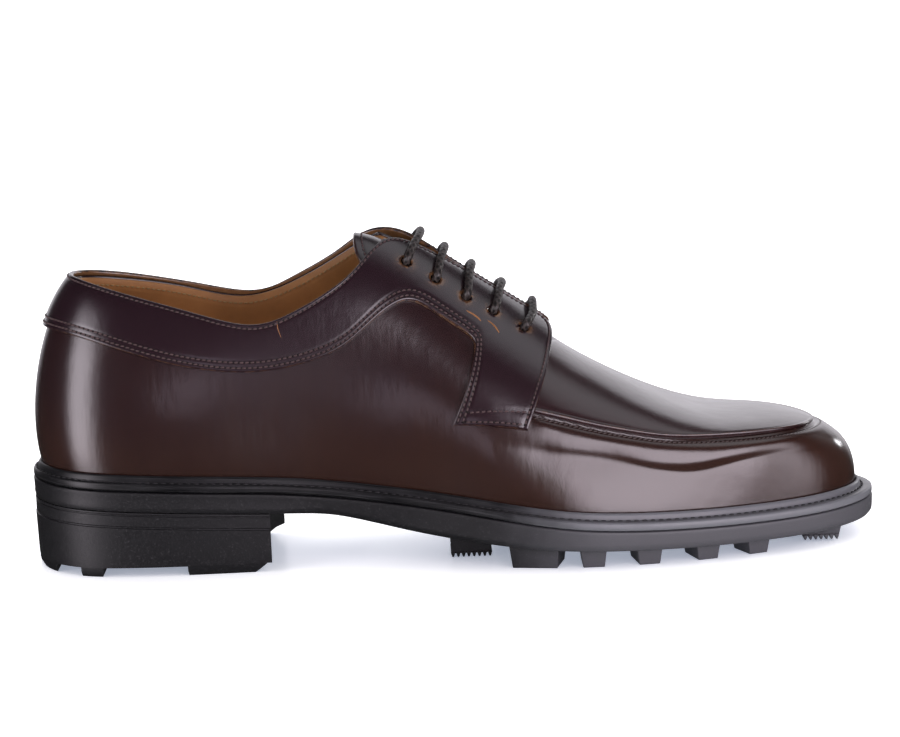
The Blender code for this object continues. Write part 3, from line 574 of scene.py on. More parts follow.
def section(rows, share):
    """Distance out and height at a share of the way up a rib: a cubic curve on four handles."""
    foot, swell, shoulder, foot_z, swell_z, shoulder_z, top_z = np.moveaxis(rows[..., 4:], -1, 0)
    rest = 1.0 - share
    first = rest ** 3
    second = 3.0 * rest * rest * share
    third = 3.0 * rest * share * share
    out = first * foot + second * swell + third * shoulder
    up = first * foot_z + second * swell_z + third * shoulder_z + share ** 3 * top_z
    return out, up


def last_point(turn, share):
    """Points of the last: the spine point moved out along its rib and up."""
    rows = ribs_at(turn)
    spine_x, spine_y, out_x, out_y = np.moveaxis(rows[..., :4], -1, 0)
    out, up = section(rows, share)
    return np.stack((spine_x + out * out_x, spine_y + out * out_y, up), -1)


def last_surface(turn, share, offset=0.0):
    """Points of the last moved out along its own normals, the cross product of its two slopes."""
    turn, share, offset = np.broadcast_arrays(turn, share, offset)
    near = np.clip(share, 0.004, 0.996)
    along = last_point(turn + 0.4, near) - last_point(turn - 0.4, near)
    climb = last_point(turn, near + 0.004) - last_point(turn, near - 0.004)
    return last_point(turn, share) + unit(np.cross(along, climb)) * offset[..., None]


CLIMB = np.linspace(0.0, 1.0, 401)


def first_crossing(steps, table, target):
    """Step at which each row of a table first passes its target, read between steps."""
    cell = np.maximum(np.argmax(table >= target[:, None], axis=1), 1)
    row = np.arange(len(cell))
    low = table[row, cell - 1]
    high = table[row, cell]
    share = np.clip((target - low) / np.where(high == low, 1.0, high - low), 0.0, 1.0)
    return steps[cell - 1] + share * (steps[cell] - steps[cell - 1])


def share_at_height(turn, height):
    """Share of the way up at which each rib reaches a height."""
    climb = section(ribs_at(turn)[:, None, :], CLIMB[None, :])[1]
    return first_crossing(CLIMB, climb, np.minimum(height, climb[:, -1] - 1e-6))


def share_at_width(turn, width):
    """Share of the way up at which each rib, followed down from the ridge, is a distance out."""
    spread = section(ribs_at(turn)[:, None, :], CLIMB[None, ::-1])[0]
    return first_crossing(CLIMB[::-1], spread, np.maximum(width, 1e-9))


def turn_of(station, side):
    """Place on the loop of a station on one side."""
    return np.where(np.asarray(side) < 0.0, station, LOOP - station)


def grid_quads(columns, rows, closed_columns=False, closed_rows=False):
    """Corner numbers of the quads of a grid of points kept column by column."""
    col = np.arange(columns if closed_columns else columns - 1)[:, None]
    row = np.arange(rows if closed_rows else rows - 1)[None, :]
    here = col * rows
    beside = (col + 1) % columns * rows
    above = (row + 1) % rows
    return np.stack((here + row, beside + row, beside + above, here + above), -1)


def tube_quads(count, steps):
    """Quads of several tubes of so many rings of points each, closed at both ends."""
    caps = np.array(((0, 1, 2, 3), (0, 3, 4, 5)))
    wall = grid_quads(steps, TUBE_SIDES, False, True).reshape(-1, 4)
    one = np.concatenate((wall, caps, caps + TUBE_SIDES * (steps - 1)))
    return one[None, :, :] + TUBE_SIDES * steps * np.arange(count)[:, None, None]


def joined(parts):
    """Points and quads of several shapes as those of one mesh."""
    starts = np.cumsum([0] + [len(points) for points, _ in parts[:-1]])
    quads = [corners.reshape(-1, 4) + start for (_, corners), start in zip(parts, starts)]
    return np.concatenate([points for points, _ in parts]), np.concatenate(quads)


def put_mesh(name, points, quads, material, fields=None, uv=None):
    """An object at the origin from points in millimetres and quads, welded and facing outwards.

    `fields` are named numbers that the material reads at each point, and `uv` is each point's flat place.
    """
    points = np.asarray(points, float).reshape(-1, 3)
    quads = np.asarray(quads, np.int32).reshape(-1, 4)
    mesh = bpy.data.meshes.new(name)
    mesh.vertices.add(len(points))
    mesh.vertices.foreach_set("co", (points * MM).ravel())
    mesh.loops.add(quads.size)
    mesh.loops.foreach_set("vertex_index", quads.ravel())
    mesh.polygons.add(len(quads))
    mesh.polygons.foreach_set("loop_start", np.arange(len(quads), dtype=np.int32) * 4)
    mesh.update(calc_edges=True)
    for field, values in (fields or {}).items():
        layer = mesh.attributes.new(field, "FLOAT", "POINT")
        layer.data.foreach_set("value", np.asarray(values, np.float32).ravel())
    if uv is not None:
        layer = mesh.uv_layers.new(name="UVMap")
        layer.data.foreach_set("uv", np.asarray(uv, np.float32).reshape(-1, 2)[quads.ravel()].ravel())
    shape = bmesh.new()
    shape.from_mesh(mesh)
    bmesh.ops.remove_doubles(shape, verts=shape.verts, dist=2e-6)
    bmesh.ops.recalc_face_normals(shape, faces=shape.faces)
    shape.to_mesh(mesh)
    shape.free()
    mesh.shade_smooth()
    mesh.materials.append(material)
    made = bpy.data.objects.new(name, mesh)
    bpy.context.scene.collection.objects.link(made)
    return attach(made, "root")


def ring_solid(name, points, material, drop=None, **extra):
    """A closed body from a grid of points that closes both round the shoe and round its own profile."""
    quads = grid_quads(points.shape[0], points.shape[1], True, True)
    if drop is not None:
        quads = quads[~drop]
    return put_mesh(name, points, quads, material, **extra)


def sheet_solid(name, outer, inner, material, keep=None, joins=None, fields=None):
    """A closed sheet between two matching grids, with walls round every free edge.

    `keep` masks the quads, so that holes can be left out, and `joins` renumbers points that two edges share.
    """
    columns, rows = outer.shape[:2]
    count = columns * rows
    quads = grid_quads(columns, rows)
    quads = quads[keep] if keep is not None else quads.reshape(-1, 4)
    if joins is not None:
        quads = joins[quads]
    start = quads.ravel()
    end = np.roll(quads, -1, axis=1).ravel()
    free = ~np.isin(start * count + end, end * count + start) & (start != end)
    walls = np.stack((end[free], start[free], start[free] + count, end[free] + count), 1)
    faces = np.concatenate((quads, quads[:, ::-1] + count, walls))
    doubled = {}
    for field, (top, low) in (fields or {}).items():
        doubled[field] = np.concatenate((top.ravel(), low.ravel()))
    points = np.concatenate((outer.reshape(-1, 3), inner.reshape(-1, 3)))
    return put_mesh(name, points, faces, material, doubled)


def sharpen(made, angle):
    """Keep edges that turn by more than an angle crisp under smooth shading."""
    made.data.set_sharp_from_angle(angle=math.radians(angle))


def round_edges(made, width):
    """Round a piece's sharp edges by a small bevel."""
    bevel = made.modifiers.new("rounded edges", "BEVEL")
    bevel.width = width * MM
    bevel.segments = 2
    bevel.limit_method = "ANGLE"
    bevel.angle_limit = math.radians(35.0)
    bevel.harden_normals = True


def crowded(width, near, middle):
    """Shares across strips of each width: rows at near distances from both edges, even rows between."""
    near = np.asarray(near)
    top = near[None, :] / width[:, None]
    even = np.linspace(0.0, 1.0, middle + 2)[1:-1]
    inner = top[:, -1:] * (1.0 - even) + (1.0 - top[:, -1:]) * even
    return np.concatenate((top, inner, 1.0 - top[:, ::-1]), axis=1)


def rounded_height(distance, thickness, radius):
    """Height of a sheet's face at a distance from its edge, rounded over a quarter circle."""
    inside = np.clip(1.0 - distance / radius, 0.0, 1.0)
    return thickness - radius * (1.0 - np.sqrt(1.0 - inside * inside))


def add_node(tree, kind, inputs=(), **settings):
    """A node with its settings, and its inputs set to values or linked to other nodes' outputs."""
    node = tree.nodes.new(kind)
    for setting, value in settings.items():
        setattr(node, setting, value)
    for socket, value in dict(inputs).items():
        if isinstance(value, bpy.types.NodeSocket):
            tree.links.new(value, node.inputs[socket])
        else:
            node.inputs[socket].default_value = value
    return node


def scaled(colour, amount):
    """A colour made darker or lighter by an amount."""
    return tuple(amount * part for part in colour)


class Finish:
    """A material's node tree with a Principled shader, and short calls for the nodes its patterns use."""

    def __init__(self, name, colour, roughness, **constants):
        self.material = bpy.data.materials.new(name)
        self.material.use_nodes = True
        self.tree = self.material.node_tree
        self.shader = self.tree.nodes["Principled BSDF"]
        self.shader.inputs["Base Color"].default_value = colour + (1.0,)
        self.shader.inputs["Roughness"].default_value = roughness
        for socket, value in constants.items():
            self.shader.inputs[socket.replace("_", " ")].default_value = value
        self.place = self.add("ShaderNodeTexCoord").outputs["Object"]

    def add(self, kind, inputs=(), **settings):
        """A node of this material."""
        return add_node(self.tree, kind, inputs, **settings)

    def shade(self, socket, value):
        """Link an output to one of the shader's inputs."""
        self.tree.links.new(value, self.shader.inputs[socket])

    def axis(self, letter):
        """The place along one axis, in metres."""
        return self.add("ShaderNodeSeparateXYZ", {0: self.place}).outputs[letter]

    def stretched(self, scale, vector=None):
        """Coordinates stretched by a scale for each axis."""
        return self.add("ShaderNodeMapping", {"Vector": vector or self.place, "Scale": scale}).outputs[0]

    def noise(self, scale, detail=3.0, vector=None):
        """Noise of so many features a metre, from 0 to 1."""
        inputs = {"Vector": vector or self.place, "Scale": scale, "Detail": detail, "Roughness": 0.55}
        return self.add("ShaderNodeTexNoise", inputs).outputs["Fac"]

    def cells(self, scale):
        """Distance from the middles of scattered cells, so many a metre."""
        return self.add("ShaderNodeTexVoronoi", {"Vector": self.place, "Scale": scale}).outputs["Distance"]

    def math(self, operation, first, second):
        """One arithmetic step."""
        return self.add("ShaderNodeMath", {0: first, 1: second}, operation=operation).outputs[0]

    def plus(self, first, second, amount):
        """A value with an amount of another added."""
        return self.math("ADD", first, self.math("MULTIPLY", second, amount))

    def spread(self, value, low, high, to_low=0.0, to_high=1.0):
        """A value moved smoothly from one range onto another, held at the ends."""
        inputs = {0: value, 1: low, 2: high, 3: to_low, 4: to_high}
        return self.add("ShaderNodeMapRange", inputs, interpolation_type="SMOOTHSTEP").outputs[0]

    def mix(self, share, first, second):
        """Two colours mixed by a share."""
        inputs = {0: share, 6: self.colour(first), 7: self.colour(second)}
        return self.add("ShaderNodeMix", inputs, data_type="RGBA").outputs[2]

    @staticmethod
    def colour(value):
        """A colour with its alpha, or an output as it is."""
        return value if isinstance(value, bpy.types.NodeSocket) else tuple(value) + (1.0,)

    def field(self, name):
        """A number that the mesh carries for each point."""
        return self.add("ShaderNodeAttribute", attribute_name=name).outputs["Fac"]

    def flat_place(self):
        """The piece's own flat coordinates."""
        return self.add("ShaderNodeTexCoord").outputs["UV"]

    def forefoot(self, cloud):
        """0 at the heel and waist, 1 at the forefoot, and a cloudy smooth step between them: the share of
        painted light on the sole and welt.
        """
        forward = self.math("ADD", self.axis("X"), self.spread(cloud, 0.3, 0.75, -6.0 * MM, 6.0 * MM))
        return self.spread(forward, FOREFOOT_LIGHT_X[0] * MM, FOREFOOT_LIGHT_X[1] * MM)

    def bump(self, height, strength, depth, socket="Normal"):
        """Relief from a height in 0 to 1, in millimetres of depth."""
        node = self.add("ShaderNodeBump", {"Height": height, "Strength": strength, "Distance": depth * MM})
        self.shade(socket, node.outputs[0])


def burnished_leather(name, low, high, heights):
    """Polished calf: redder below and purple-black above, mottled, brushed, finely grained, raw where worn.

    The colour is a mix by height with two noises added, and the wear field shows the raw leather. The polish
    has a relief of its own: brush strokes, slight waves and a trace of the grain.
    """
    finish = Finish(name, high, LEATHER_ROUGHNESS, Specular_IOR_Level=0.1,
                    Coat_Weight=1.0, Coat_Roughness=0.2, Coat_IOR=1.9)
    cloud = finish.noise(26.0)
    brushed = finish.noise(1.0, 4.0, finish.stretched((150.0, 150.0, 34.0)))
    rise = finish.spread(finish.axis("Z"), heights[0] * MM, heights[1] * MM)
    rise = finish.plus(rise, finish.math("SUBTRACT", cloud, 0.5), 0.7)
    rise = finish.plus(rise, finish.math("SUBTRACT", brushed, 0.5), 0.6)
    colour = finish.mix(finish.spread(rise, -0.4, 1.4), low, high)
    speck = finish.spread(finish.noise(850.0, 2.0), 0.55, 0.8, 0.0, 0.35)
    colour = finish.mix(speck, colour, scaled(high, 0.62))
    wear = finish.field("wear")
    worn = finish.math("MULTIPLY", wear, finish.spread(finish.noise(420.0), 0.35, 0.6))
    worn = finish.math("MAXIMUM", worn, finish.spread(wear, 0.85, 0.98))
    finish.shade("Base Color", finish.mix(worn, colour, RAW_LEATHER))
    matt = LEATHER_ROUGHNESS + 0.08
    gloss = finish.spread(finish.noise(60.0, 4.0), 0.3, 0.7, LEATHER_ROUGHNESS - 0.06, matt)
    finish.shade("Roughness", finish.plus(gloss, worn, 0.25))
    grain = finish.plus(finish.cells(1700.0), finish.noise(2600.0, 2.0), 0.7)
    finish.bump(grain, 0.10, 0.16)
    strokes = finish.noise(1.0, 3.0, finish.stretched((420.0, 420.0, 60.0)))
    waves = finish.plus(strokes, finish.noise(85.0, 2.0), 3.0)
    finish.bump(finish.plus(waves, grain, 0.25), 0.8, 0.06, "Coat Normal")
    return finish.material


def lining_leather(name, colour):
    """Plain tan lining: soft colour clouds, darker rubbed patches and a fine open grain."""
    finish = Finish(name, colour, 0.6, Sheen_Weight=0.1)
    cloud = finish.noise(45.0, 4.0)
    tone = finish.mix(finish.spread(cloud, 0.3, 0.7), scaled(colour, 0.72), colour)
    rubbed = finish.spread(finish.noise(190.0), 0.55, 0.8, 0.0, 0.3)
    finish.shade("Base Color", finish.mix(rubbed, tone, scaled(colour, 0.5)))
    finish.shade("Roughness", finish.spread(cloud, 0.2, 0.8, 0.5, 0.68))
    finish.bump(finish.math("ADD", finish.cells(1300.0), finish.noise(2400.0)), 0.16, 0.2)
    return finish.material


def moulded_rubber(name, rubbed):
    """Matt moulded rubber: a fine pebbled skin with pale dust specks, black at the heel and painted paler
    towards the forefoot as painted light.
    """
    finish = Finish(name, RUBBER, RUBBER_ROUGHNESS, Specular_IOR_Level=0.55)
    pebble = finish.noise(1500.0)
    # Painted light: the colour turns from black at the heel to the paler `rubbed` colour at the forefoot.
    tone = finish.mix(finish.forefoot(finish.noise(40.0)), RUBBER, rubbed)
    dust = finish.mix(0.6, tone, (0.16, 0.16, 0.17))
    finish.shade("Base Color", finish.mix(finish.spread(pebble, 0.55, 0.8, 0.0, 0.3), tone, dust))
    gloss = (RUBBER_ROUGHNESS - 0.08, RUBBER_ROUGHNESS + 0.08)
    finish.shade("Roughness", finish.spread(pebble, 0.3, 0.7, *gloss))
    finish.bump(pebble, 0.18, 0.2)
    return finish.material


def dressed_welt(name):
    """Dressed welt leather: black, painted greyer towards the forefoot as painted sheen, waxed, streaked
    along and pressed across.
    """
    finish = Finish(name, (0.006, 0.006, 0.007), 0.34, Coat_Weight=0.25, Coat_Roughness=0.3)
    along = finish.flat_place()
    streak = finish.noise(1.0, 4.0, finish.stretched((40.0, 2600.0, 1.0), along))
    cloud = finish.noise(70.0)
    # Painted sheen: the welt turns from black to grey towards the forefoot.
    tone = finish.mix(finish.forefoot(cloud), (0.004, 0.004, 0.005), (0.15, 0.155, 0.17))
    streaked = finish.spread(streak, 0.45, 0.75, 0.0, 0.25)
    finish.shade("Base Color", finish.mix(streaked, tone, (0.13, 0.13, 0.14)))
    finish.shade("Roughness", finish.spread(cloud, 0.3, 0.7, 0.28, 0.46))
    marks = finish.add("ShaderNodeTexWave", {"Vector": along, "Scale": 380.0, "Distortion": 0.4})
    finish.bump(finish.plus(streak, marks.outputs["Fac"], 0.5), 0.22, 0.15)
    return finish.material


def waxed_thread(name, colour):
    """Sewing thread: fine fibres, darker and paler, with a waxy shine."""
    finish = Finish(name, colour, 0.45)
    fibre = finish.noise(2600.0)
    finish.shade("Base Color", finish.mix(fibre, scaled(colour, 0.6), scaled(colour, 1.5)))
    finish.bump(fibre, 0.4, 0.1)
    return finish.material


def braided_cord(name):
    """Round waxed lace: dark braid with painted silvery glints on its strands and painted shade in the gaps
    between them.
    """
    finish = Finish(name, (0.035, 0.029, 0.028), 0.42, Specular_IOR_Level=0.6)
    strand = finish.field("strand")
    fleck = finish.noise(1900.0)
    # Painted shade: the gaps between the strands are far darker than the strands themselves.
    tone = finish.mix(strand, (0.005, 0.004, 0.004), (0.048, 0.037, 0.034))
    # Painted glints: pale flecks on the strands' crests.
    glint = finish.math("MULTIPLY", finish.spread(fleck, 0.58, 0.72), strand)
    finish.shade("Base Color", finish.mix(glint, tone, (0.24, 0.22, 0.21)))
    finish.shade("Roughness", finish.spread(fleck, 0.3, 0.7, 0.5, 0.3))
    finish.bump(fleck, 0.25, 0.1)
    return finish.material


def painted_hole_shade(name):
    """Painted shade of a needle hole: nearly black, matt, with a trace of the raw leather."""
    finish = Finish(name, (0.006, 0.004, 0.004), 0.8)
    fibre = finish.noise(3000.0, 2.0)
    finish.shade("Base Color", finish.mix(fibre, (0.004, 0.003, 0.003), (0.012, 0.008, 0.007)))
    return finish.material


def studio_floor(name):
    """Pale smooth table, nearly white, with a painted soft shadow where the shoe stands close to it."""
    finish = Finish(name, (0.93, 0.93, 0.93), 0.28, Specular_IOR_Level=0.35, Emission_Strength=1.0)
    cloud = finish.noise(3.0, 2.0)
    finish.shade("Base Color", finish.mix(cloud, (0.925, 0.925, 0.925), (0.94, 0.94, 0.94)))
    # Painted contact shadow: the floor's glow turns blue-grey where the shoe is close by.
    near = finish.add("ShaderNodeAmbientOcclusion", {"Distance": 0.045}, samples=8)
    finish.shade("Emission Color", finish.mix(near.outputs["AO"], (0.30, 0.33, 0.40), (1.0, 1.0, 1.0)))
    return finish.material


def crease_depth(turn, height):
    """How far the creases push the wall in: a bell across each side's trough, as deep as its table says."""
    side = np.where(turn <= SIDE_LENGTH, LATERAL, MEDIAL)
    station = np.where(side < 0.0, turn, LOOP - turn)
    depth = np.zeros(np.shape(height))
    for crease_side, trough in CREASES.items():
        within = np.clip(station, trough[0][0], trough[-1][0])
        deep = np.maximum(from_table(trough, 2, within), 0.0)
        over = height - from_table(trough, 1, within)
        across = bell(over, 0.0, np.where(over > 0.0, CREASE_ABOVE, CREASE_BELOW))
        depth += np.where(side == crease_side, deep * across, 0.0)
    return depth


def upper_top(turn):
    """Share of each rib at which the upper ends: topline, throat edge or ridge."""
    lateral = turn <= SIDE_LENGTH
    station = np.where(lateral, turn, LOOP - turn)
    last = TOPLINE[-1][0]
    line = np.where(lateral, from_table(TOPLINE, 1, np.minimum(station, last)),
                    from_table(TOPLINE, 2, np.minimum(station, last)))
    by_line = np.where(station < last, share_at_height(turn, line), 1.0)
    half = THROAT_HALF * np.sqrt(np.clip((THROAT_STATION - station) / THROAT_ROUND, 0.0, 1.0))
    by_throat = np.where(half > 0.0, share_at_width(turn, half), 1.0)
    return np.minimum(by_line, by_throat)


def apron_rungs(count):
    """The apron's rungs read smoothly from its table: seam station, seam height and ridge station."""
    rows = smooth_path(np.linspace(0.0, len(APRON) - 1.0, count), np.arange(len(APRON)), np.array(APRON))
    rows[:, (0, 2)] = np.minimum(rows[:, (0, 2)], SIDE_LENGTH)
    return rows


def seam_height(station):
    """Height of the apron's seam at a station of either side."""
    rungs = apron_rungs(400)
    return np.interp(station, rungs[:, 0], rungs[:, 1])


def below_seam(turn, share):
    """Length down the rib from the apron's seam to each point of a grid, under zero above the seam."""
    points = last_point(turn, share)
    steps = np.linalg.norm(np.diff(points, axis=1), axis=2)
    climbed = np.concatenate((np.zeros((len(points), 1)), np.cumsum(steps, axis=1)), axis=1)
    station = np.where(turn[:, 0] <= SIDE_LENGTH, turn[:, 0], LOOP - turn[:, 0])
    seam = share_at_height(turn[:, 0], seam_height(station))
    at_seam = np.array([np.interp(low, row, length) for low, row, length in zip(seam, share, climbed)])
    return at_seam[:, None] - climbed, station[:, None]


def upper_relief(turn, share):
    """Relief of the vamp and quarters: the apron's sewn groove, the roll under it, and the creases."""
    below, station = below_seam(turn, share)
    height = last_point(turn, share)[..., 2]
    sewn = soft_step(station, *APRON_SEAM_START)
    groove = 0.55 * bell(below, 1.0, 0.7) + 0.25 * soft_step(-below, 0.0, 1.5)
    roll = 0.3 * bell(below, 4.0, 2.2)
    return sewn * (roll - groove) - crease_depth(turn, height)


def make_upper(leather, lining):
    """The upper's skin and its lining: the last's surface between two offsets, from welt to top edge."""
    for name, columns, rows, faces, material in (
            ("upper_skin", LOOP_COLUMNS, UPPER_ROWS, (0.0, -SKIN_DEPTH), leather),
            ("lining", LINING_COLUMNS, LINING_ROWS, (-LINING_DEPTH, -UPPER_WALL), lining)):
        turn = np.linspace(0.0, LOOP, columns, endpoint=False)
        top = upper_top(turn)
        shares = top[:, None] * np.linspace(0.0, 1.0, rows)[None, :] ** 0.92
        turns = np.repeat(turn[:, None], rows, 1)
        relief = upper_relief(turns, shares)
        back = np.linspace(rows - 1, 0, BACK_ROWS).astype(int)
        outer = last_surface(turns, shares, faces[0] + relief)
        inner = last_surface(turns[:, back], shares[:, back], faces[1] + relief[:, back])
        shut = top > 0.9999
        opposite = -np.arange(columns) % columns
        outer[shut, -1] = ((outer[:, -1] + outer[opposite, -1]) / 2.0)[shut]
        inner[shut, 0] = ((inner[:, 0] + inner[opposite, 0]) / 2.0)[shut]
        points = np.concatenate((outer, inner), axis=1)
        drop = np.zeros((columns, rows + BACK_ROWS), bool)
        drop[:, rows - 1] = shut & np.roll(shut, -1)
        fields = {"wear": np.zeros(points.shape[:2])}
        ring_solid(name, points, material, drop, fields=fields)
    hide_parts("upper")


def facing_rows(side):
    """The facing's rungs as columns of station and share for both ends, with the lift of the top edge."""
    top_station, top_z, rise, half_slit, low_station, low_z, lateral_lift, medial_lift = np.array(FACING).T
    lift = medial_lift
    if side < 0.0:
        rise = np.zeros(len(FACING))
        lift = lateral_lift
    top_turn = turn_of(top_station, side)
    by_height = share_at_height(top_turn, top_z + rise)
    by_width = share_at_width(top_turn, half_slit)
    low = share_at_height(turn_of(low_station, side), low_z + rise)
    return np.stack((top_station, np.minimum(by_height, by_width), low_station, low, lift), 1)


FACING_ROWS = {side: facing_rows(side) for side in (LATERAL, MEDIAL)}


def facing_place(side, rung, across):
    """Turn, share and lift on the last of a place in the facing: along its rungs and across them."""
    table = FACING_ROWS[side]
    order = np.arange(len(table))
    top_station, top, low_station, low, lift = (natural_cubic(order, values, rung) for values in table.T)
    station = np.clip(top_station * (1.0 - across) + low_station * across, 0.0, SIDE_LENGTH)
    share = top * (1.0 - across) + low * across
    lift = np.maximum(lift, 0.0) * np.clip(1.0 - across, 0.0, 1.0) ** 1.6
    return turn_of(station, side), share, lift


def facing_at(side, rung, across, height):
    """Points of one facing at a height over its inner face."""
    turn, share, lift = facing_place(side, rung, across)
    return last_surface(turn, share, OVERLAY_GAP + lift + height)


def facing_width(side, rung):
    """Length of each rung from the top edge to the lower edge."""
    across = np.linspace(0.0, 1.0, 25)[None, :]
    points = facing_at(side, rung[:, None], across, FACING_THICK)
    return np.linalg.norm(np.diff(points, axis=1), axis=2).sum(1)


def rung_lengths(side):
    """Rungs close together, and the length walked along the facing at its longer edge."""
    rung = np.linspace(0.0, LAST_RUNG, 900)
    edges = [facing_at(side, rung, np.full(len(rung), edge), FACING_THICK) for edge in (0.0, 1.0)]
    steps = [np.linalg.norm(np.diff(edge, axis=0), axis=1) for edge in edges]
    return rung, np.concatenate(([0.0], np.cumsum(np.maximum(*steps))))


def eyelet_middle(side, rung, across, height):
    """Middle of an eyelet at a height over the facing's inner face."""
    return facing_at(side, np.array([rung]), np.array([across]), height)[0]


def punch(outer, inner, side, keep, wear):
    """Open the eyelets: drop the quads inside each and move the points round it onto its circle."""
    for rung, across, _ in EYELETS:
        middles = [eyelet_middle(side, rung, across, height) for height in (FACING_THICK, 0.0)]
        away = np.linalg.norm(outer - middles[0], axis=2)
        centre = (away[:-1, :-1] + away[1:, :-1] + away[:-1, 1:] + away[1:, 1:]) / 4.0
        inside = centre < EYELET_RADIUS
        keep &= ~inside
        touched = np.zeros(away.shape, bool)
        kept = np.zeros(away.shape, bool)
        columns, rows = inside.shape
        for right, above in ((0, 0), (1, 0), (0, 1), (1, 1)):
            corner = (slice(right, right + columns), slice(above, above + rows))
            touched[corner] |= inside
            kept[corner] |= ~inside
        rim = touched & kept
        for sheet, middle in zip((outer, inner), middles):
            sheet[rim] = middle + EYELET_RADIUS * unit(sheet[rim] - middle)
        wear += 0.55 * bell(away, EYELET_RADIUS, 0.8) + 0.22 * bell(away, EYELET_RADIUS, 2.0)


def make_facing(name, side, leather):
    """A collar band and facing: a sheet with rounded cut edges, sewn grooves and punched eyelets."""
    rung, length = rung_lengths(side)
    even = np.linspace(0.0, length[-1] - 2.0, FACING_COLUMNS)
    ends = length[-1] - np.array((1.2, 0.7, 0.35, 0.15, 0.0))
    rungs = np.interp(np.concatenate((even, ends)), length, rung)
    width = facing_width(side, rungs)
    across = crowded(width, (0.0, 0.12, 0.3, 0.6, 1.0, 1.5, 2.1, 2.8, 3.5), FACING_MIDDLE_ROWS)
    along = np.interp(rungs, rung, length)[:, None]
    from_top = across * width[:, None]
    from_low = (1.0 - across) * width[:, None]
    from_end = np.repeat(length[-1] - along, across.shape[1], 1)
    edge = np.minimum(np.minimum(from_top, from_low), from_end)
    height = rounded_height(edge, FACING_THICK, FACING_ROUND)
    for line, distance in [(from_top, TOP_ROW)] + [(from_low, row) for row in LOW_ROWS]:
        height -= GROOVE_DEPTH * bell(line, distance, GROOVE_HALF)
    for distance in TAB_ROWS:
        height -= TAB_GROOVE_DEPTH * bell(from_end, distance, GROOVE_HALF)
    turn, share, _ = facing_place(side, rungs[:, None], across)
    height -= 0.6 * crease_depth(turn, last_point(turn, share)[..., 2])
    outer = facing_at(side, rungs[:, None], across, height)
    inner = facing_at(side, rungs[:, None], across, np.full(across.shape, -0.3))
    for sheet in (outer, inner):
        sheet[0, :, 1] = side * GAP / 2.0
    keep = np.ones((outer.shape[0] - 1, outer.shape[1] - 1), bool)
    wear = 0.3 * bell(edge, 0.0, 0.16)
    punch(outer, inner, side, keep, wear)
    fields = {"wear": (np.minimum(wear, 1.0), np.ones(wear.shape))}
    made = sheet_solid(name + "_skin", outer, inner, leather, keep, None, fields)
    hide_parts(name)


def make_scuffs(raw):
    """Scuffs of raw leather on the outer facing: flat strips, widest in the middle, half sunk in its skin."""
    place = np.linspace(0.0, 1.0, SCUFF_STEPS)
    ring = np.linspace(0.0, 2.0 * math.pi, TUBE_SIDES, endpoint=False)[None, :, None]
    strips = []
    for rungs, shares, half in SCUFFS:
        at = np.linspace(0.0, 1.0, len(rungs))
        rung = np.interp(place, at, rungs)
        across = np.interp(place, at, shares)
        path = facing_at(LATERAL, rung, across, FACING_THICK)
        up = facing_at(LATERAL, rung, across, FACING_THICK + 1.0) - path
        aside = unit(np.cross(up, np.gradient(path, axis=0)))
        wide = half * np.sqrt(1.03 - (2.0 * place - 1.0) ** 2)[:, None, None]
        flat = path[:, None] + wide * np.cos(ring) * aside[:, None]
        strips.append(flat + SCUFF_DEPTH * np.sin(ring) * up[:, None])
    put_mesh("facing_scuffs", np.concatenate(strips), tube_quads(len(strips), SCUFF_STEPS), raw)


def make_apron(leather):
    """The raised plug: from the seam's lip over the ridge to the other seam, closed round the toe."""
    rungs = apron_rungs(APRON_COLUMNS)
    sheets = []
    for side in (LATERAL, MEDIAL):
        seam_turn = turn_of(rungs[:, 0], side)
        seam = share_at_height(seam_turn, rungs[:, 1])
        coarse = np.linspace(0.0, 1.0, 30)[None, :]
        station = rungs[:, 0:1] * (1.0 - coarse) + rungs[:, 2:3] * coarse
        strip = last_point(turn_of(station, side), seam[:, None] * (1.0 - coarse) + coarse)
        width = np.linalg.norm(np.diff(strip, axis=1), axis=2).sum(1)
        near = np.array((0.0, 0.12, 0.3, 0.55, 0.85, 1.15, 1.5, 1.9, 2.4, 3.2))
        even = np.linspace(0.0, 1.0, APRON_MIDDLE_ROWS + 1)[None, 1:]
        first = near[None, :] / width[:, None]
        across = np.concatenate((first, first[:, -1:] * (1.0 - even) + even), axis=1)
        station = rungs[:, 0:1] * (1.0 - across) + rungs[:, 2:3] * across
        share = seam[:, None] * (1.0 - across) + across
        edge = across * width[:, None]
        lip = 0.38 * bell(edge, 0.85, 0.55) - 0.16 * bell(edge, 2.0, 0.5)
        thinned = soft_step(rungs[:, 0:1], *APRON_TOE) * (1.0 - soft_step(edge, 1.0, 16.0))
        height = (rounded_height(edge, APRON_THICK, APRON_ROUND) + lip) * (1.0 - 0.5 * thinned)
        tucked = soft_step(rungs[:, 2:3] - APRON[0][2], 0.8, 3.4)
        height = tucked * (height + 0.3) - 0.3
        turn = turn_of(station, side)
        low = last_surface(turn, share, 0.1)
        high = last_surface(turn, share, OVERLAY_GAP + height)
        sheets.append((high, low, edge))
    outer, inner, edge = (np.concatenate((first, second[-2::-1])) for first, second in zip(*sheets))
    columns, rows = outer.shape[:2]
    joins = np.arange(columns * rows).reshape(columns, rows)
    half = columns // 2
    joins[half + 1:, -1] = joins[:half, -1][::-1]
    for sheet in (outer, inner):
        ridge = (sheet[:half, -1] + sheet[half + 1:, -1][::-1]) / 2.0
        sheet[:half, -1] = ridge
        sheet[half + 1:, -1] = ridge[::-1]
    fields = {"wear": (0.22 * bell(edge, 0.8, 0.3), np.zeros(edge.shape))}
    made = sheet_solid("apron_skin", outer, inner, leather, None, joins.ravel(), fields)
    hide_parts("apron")


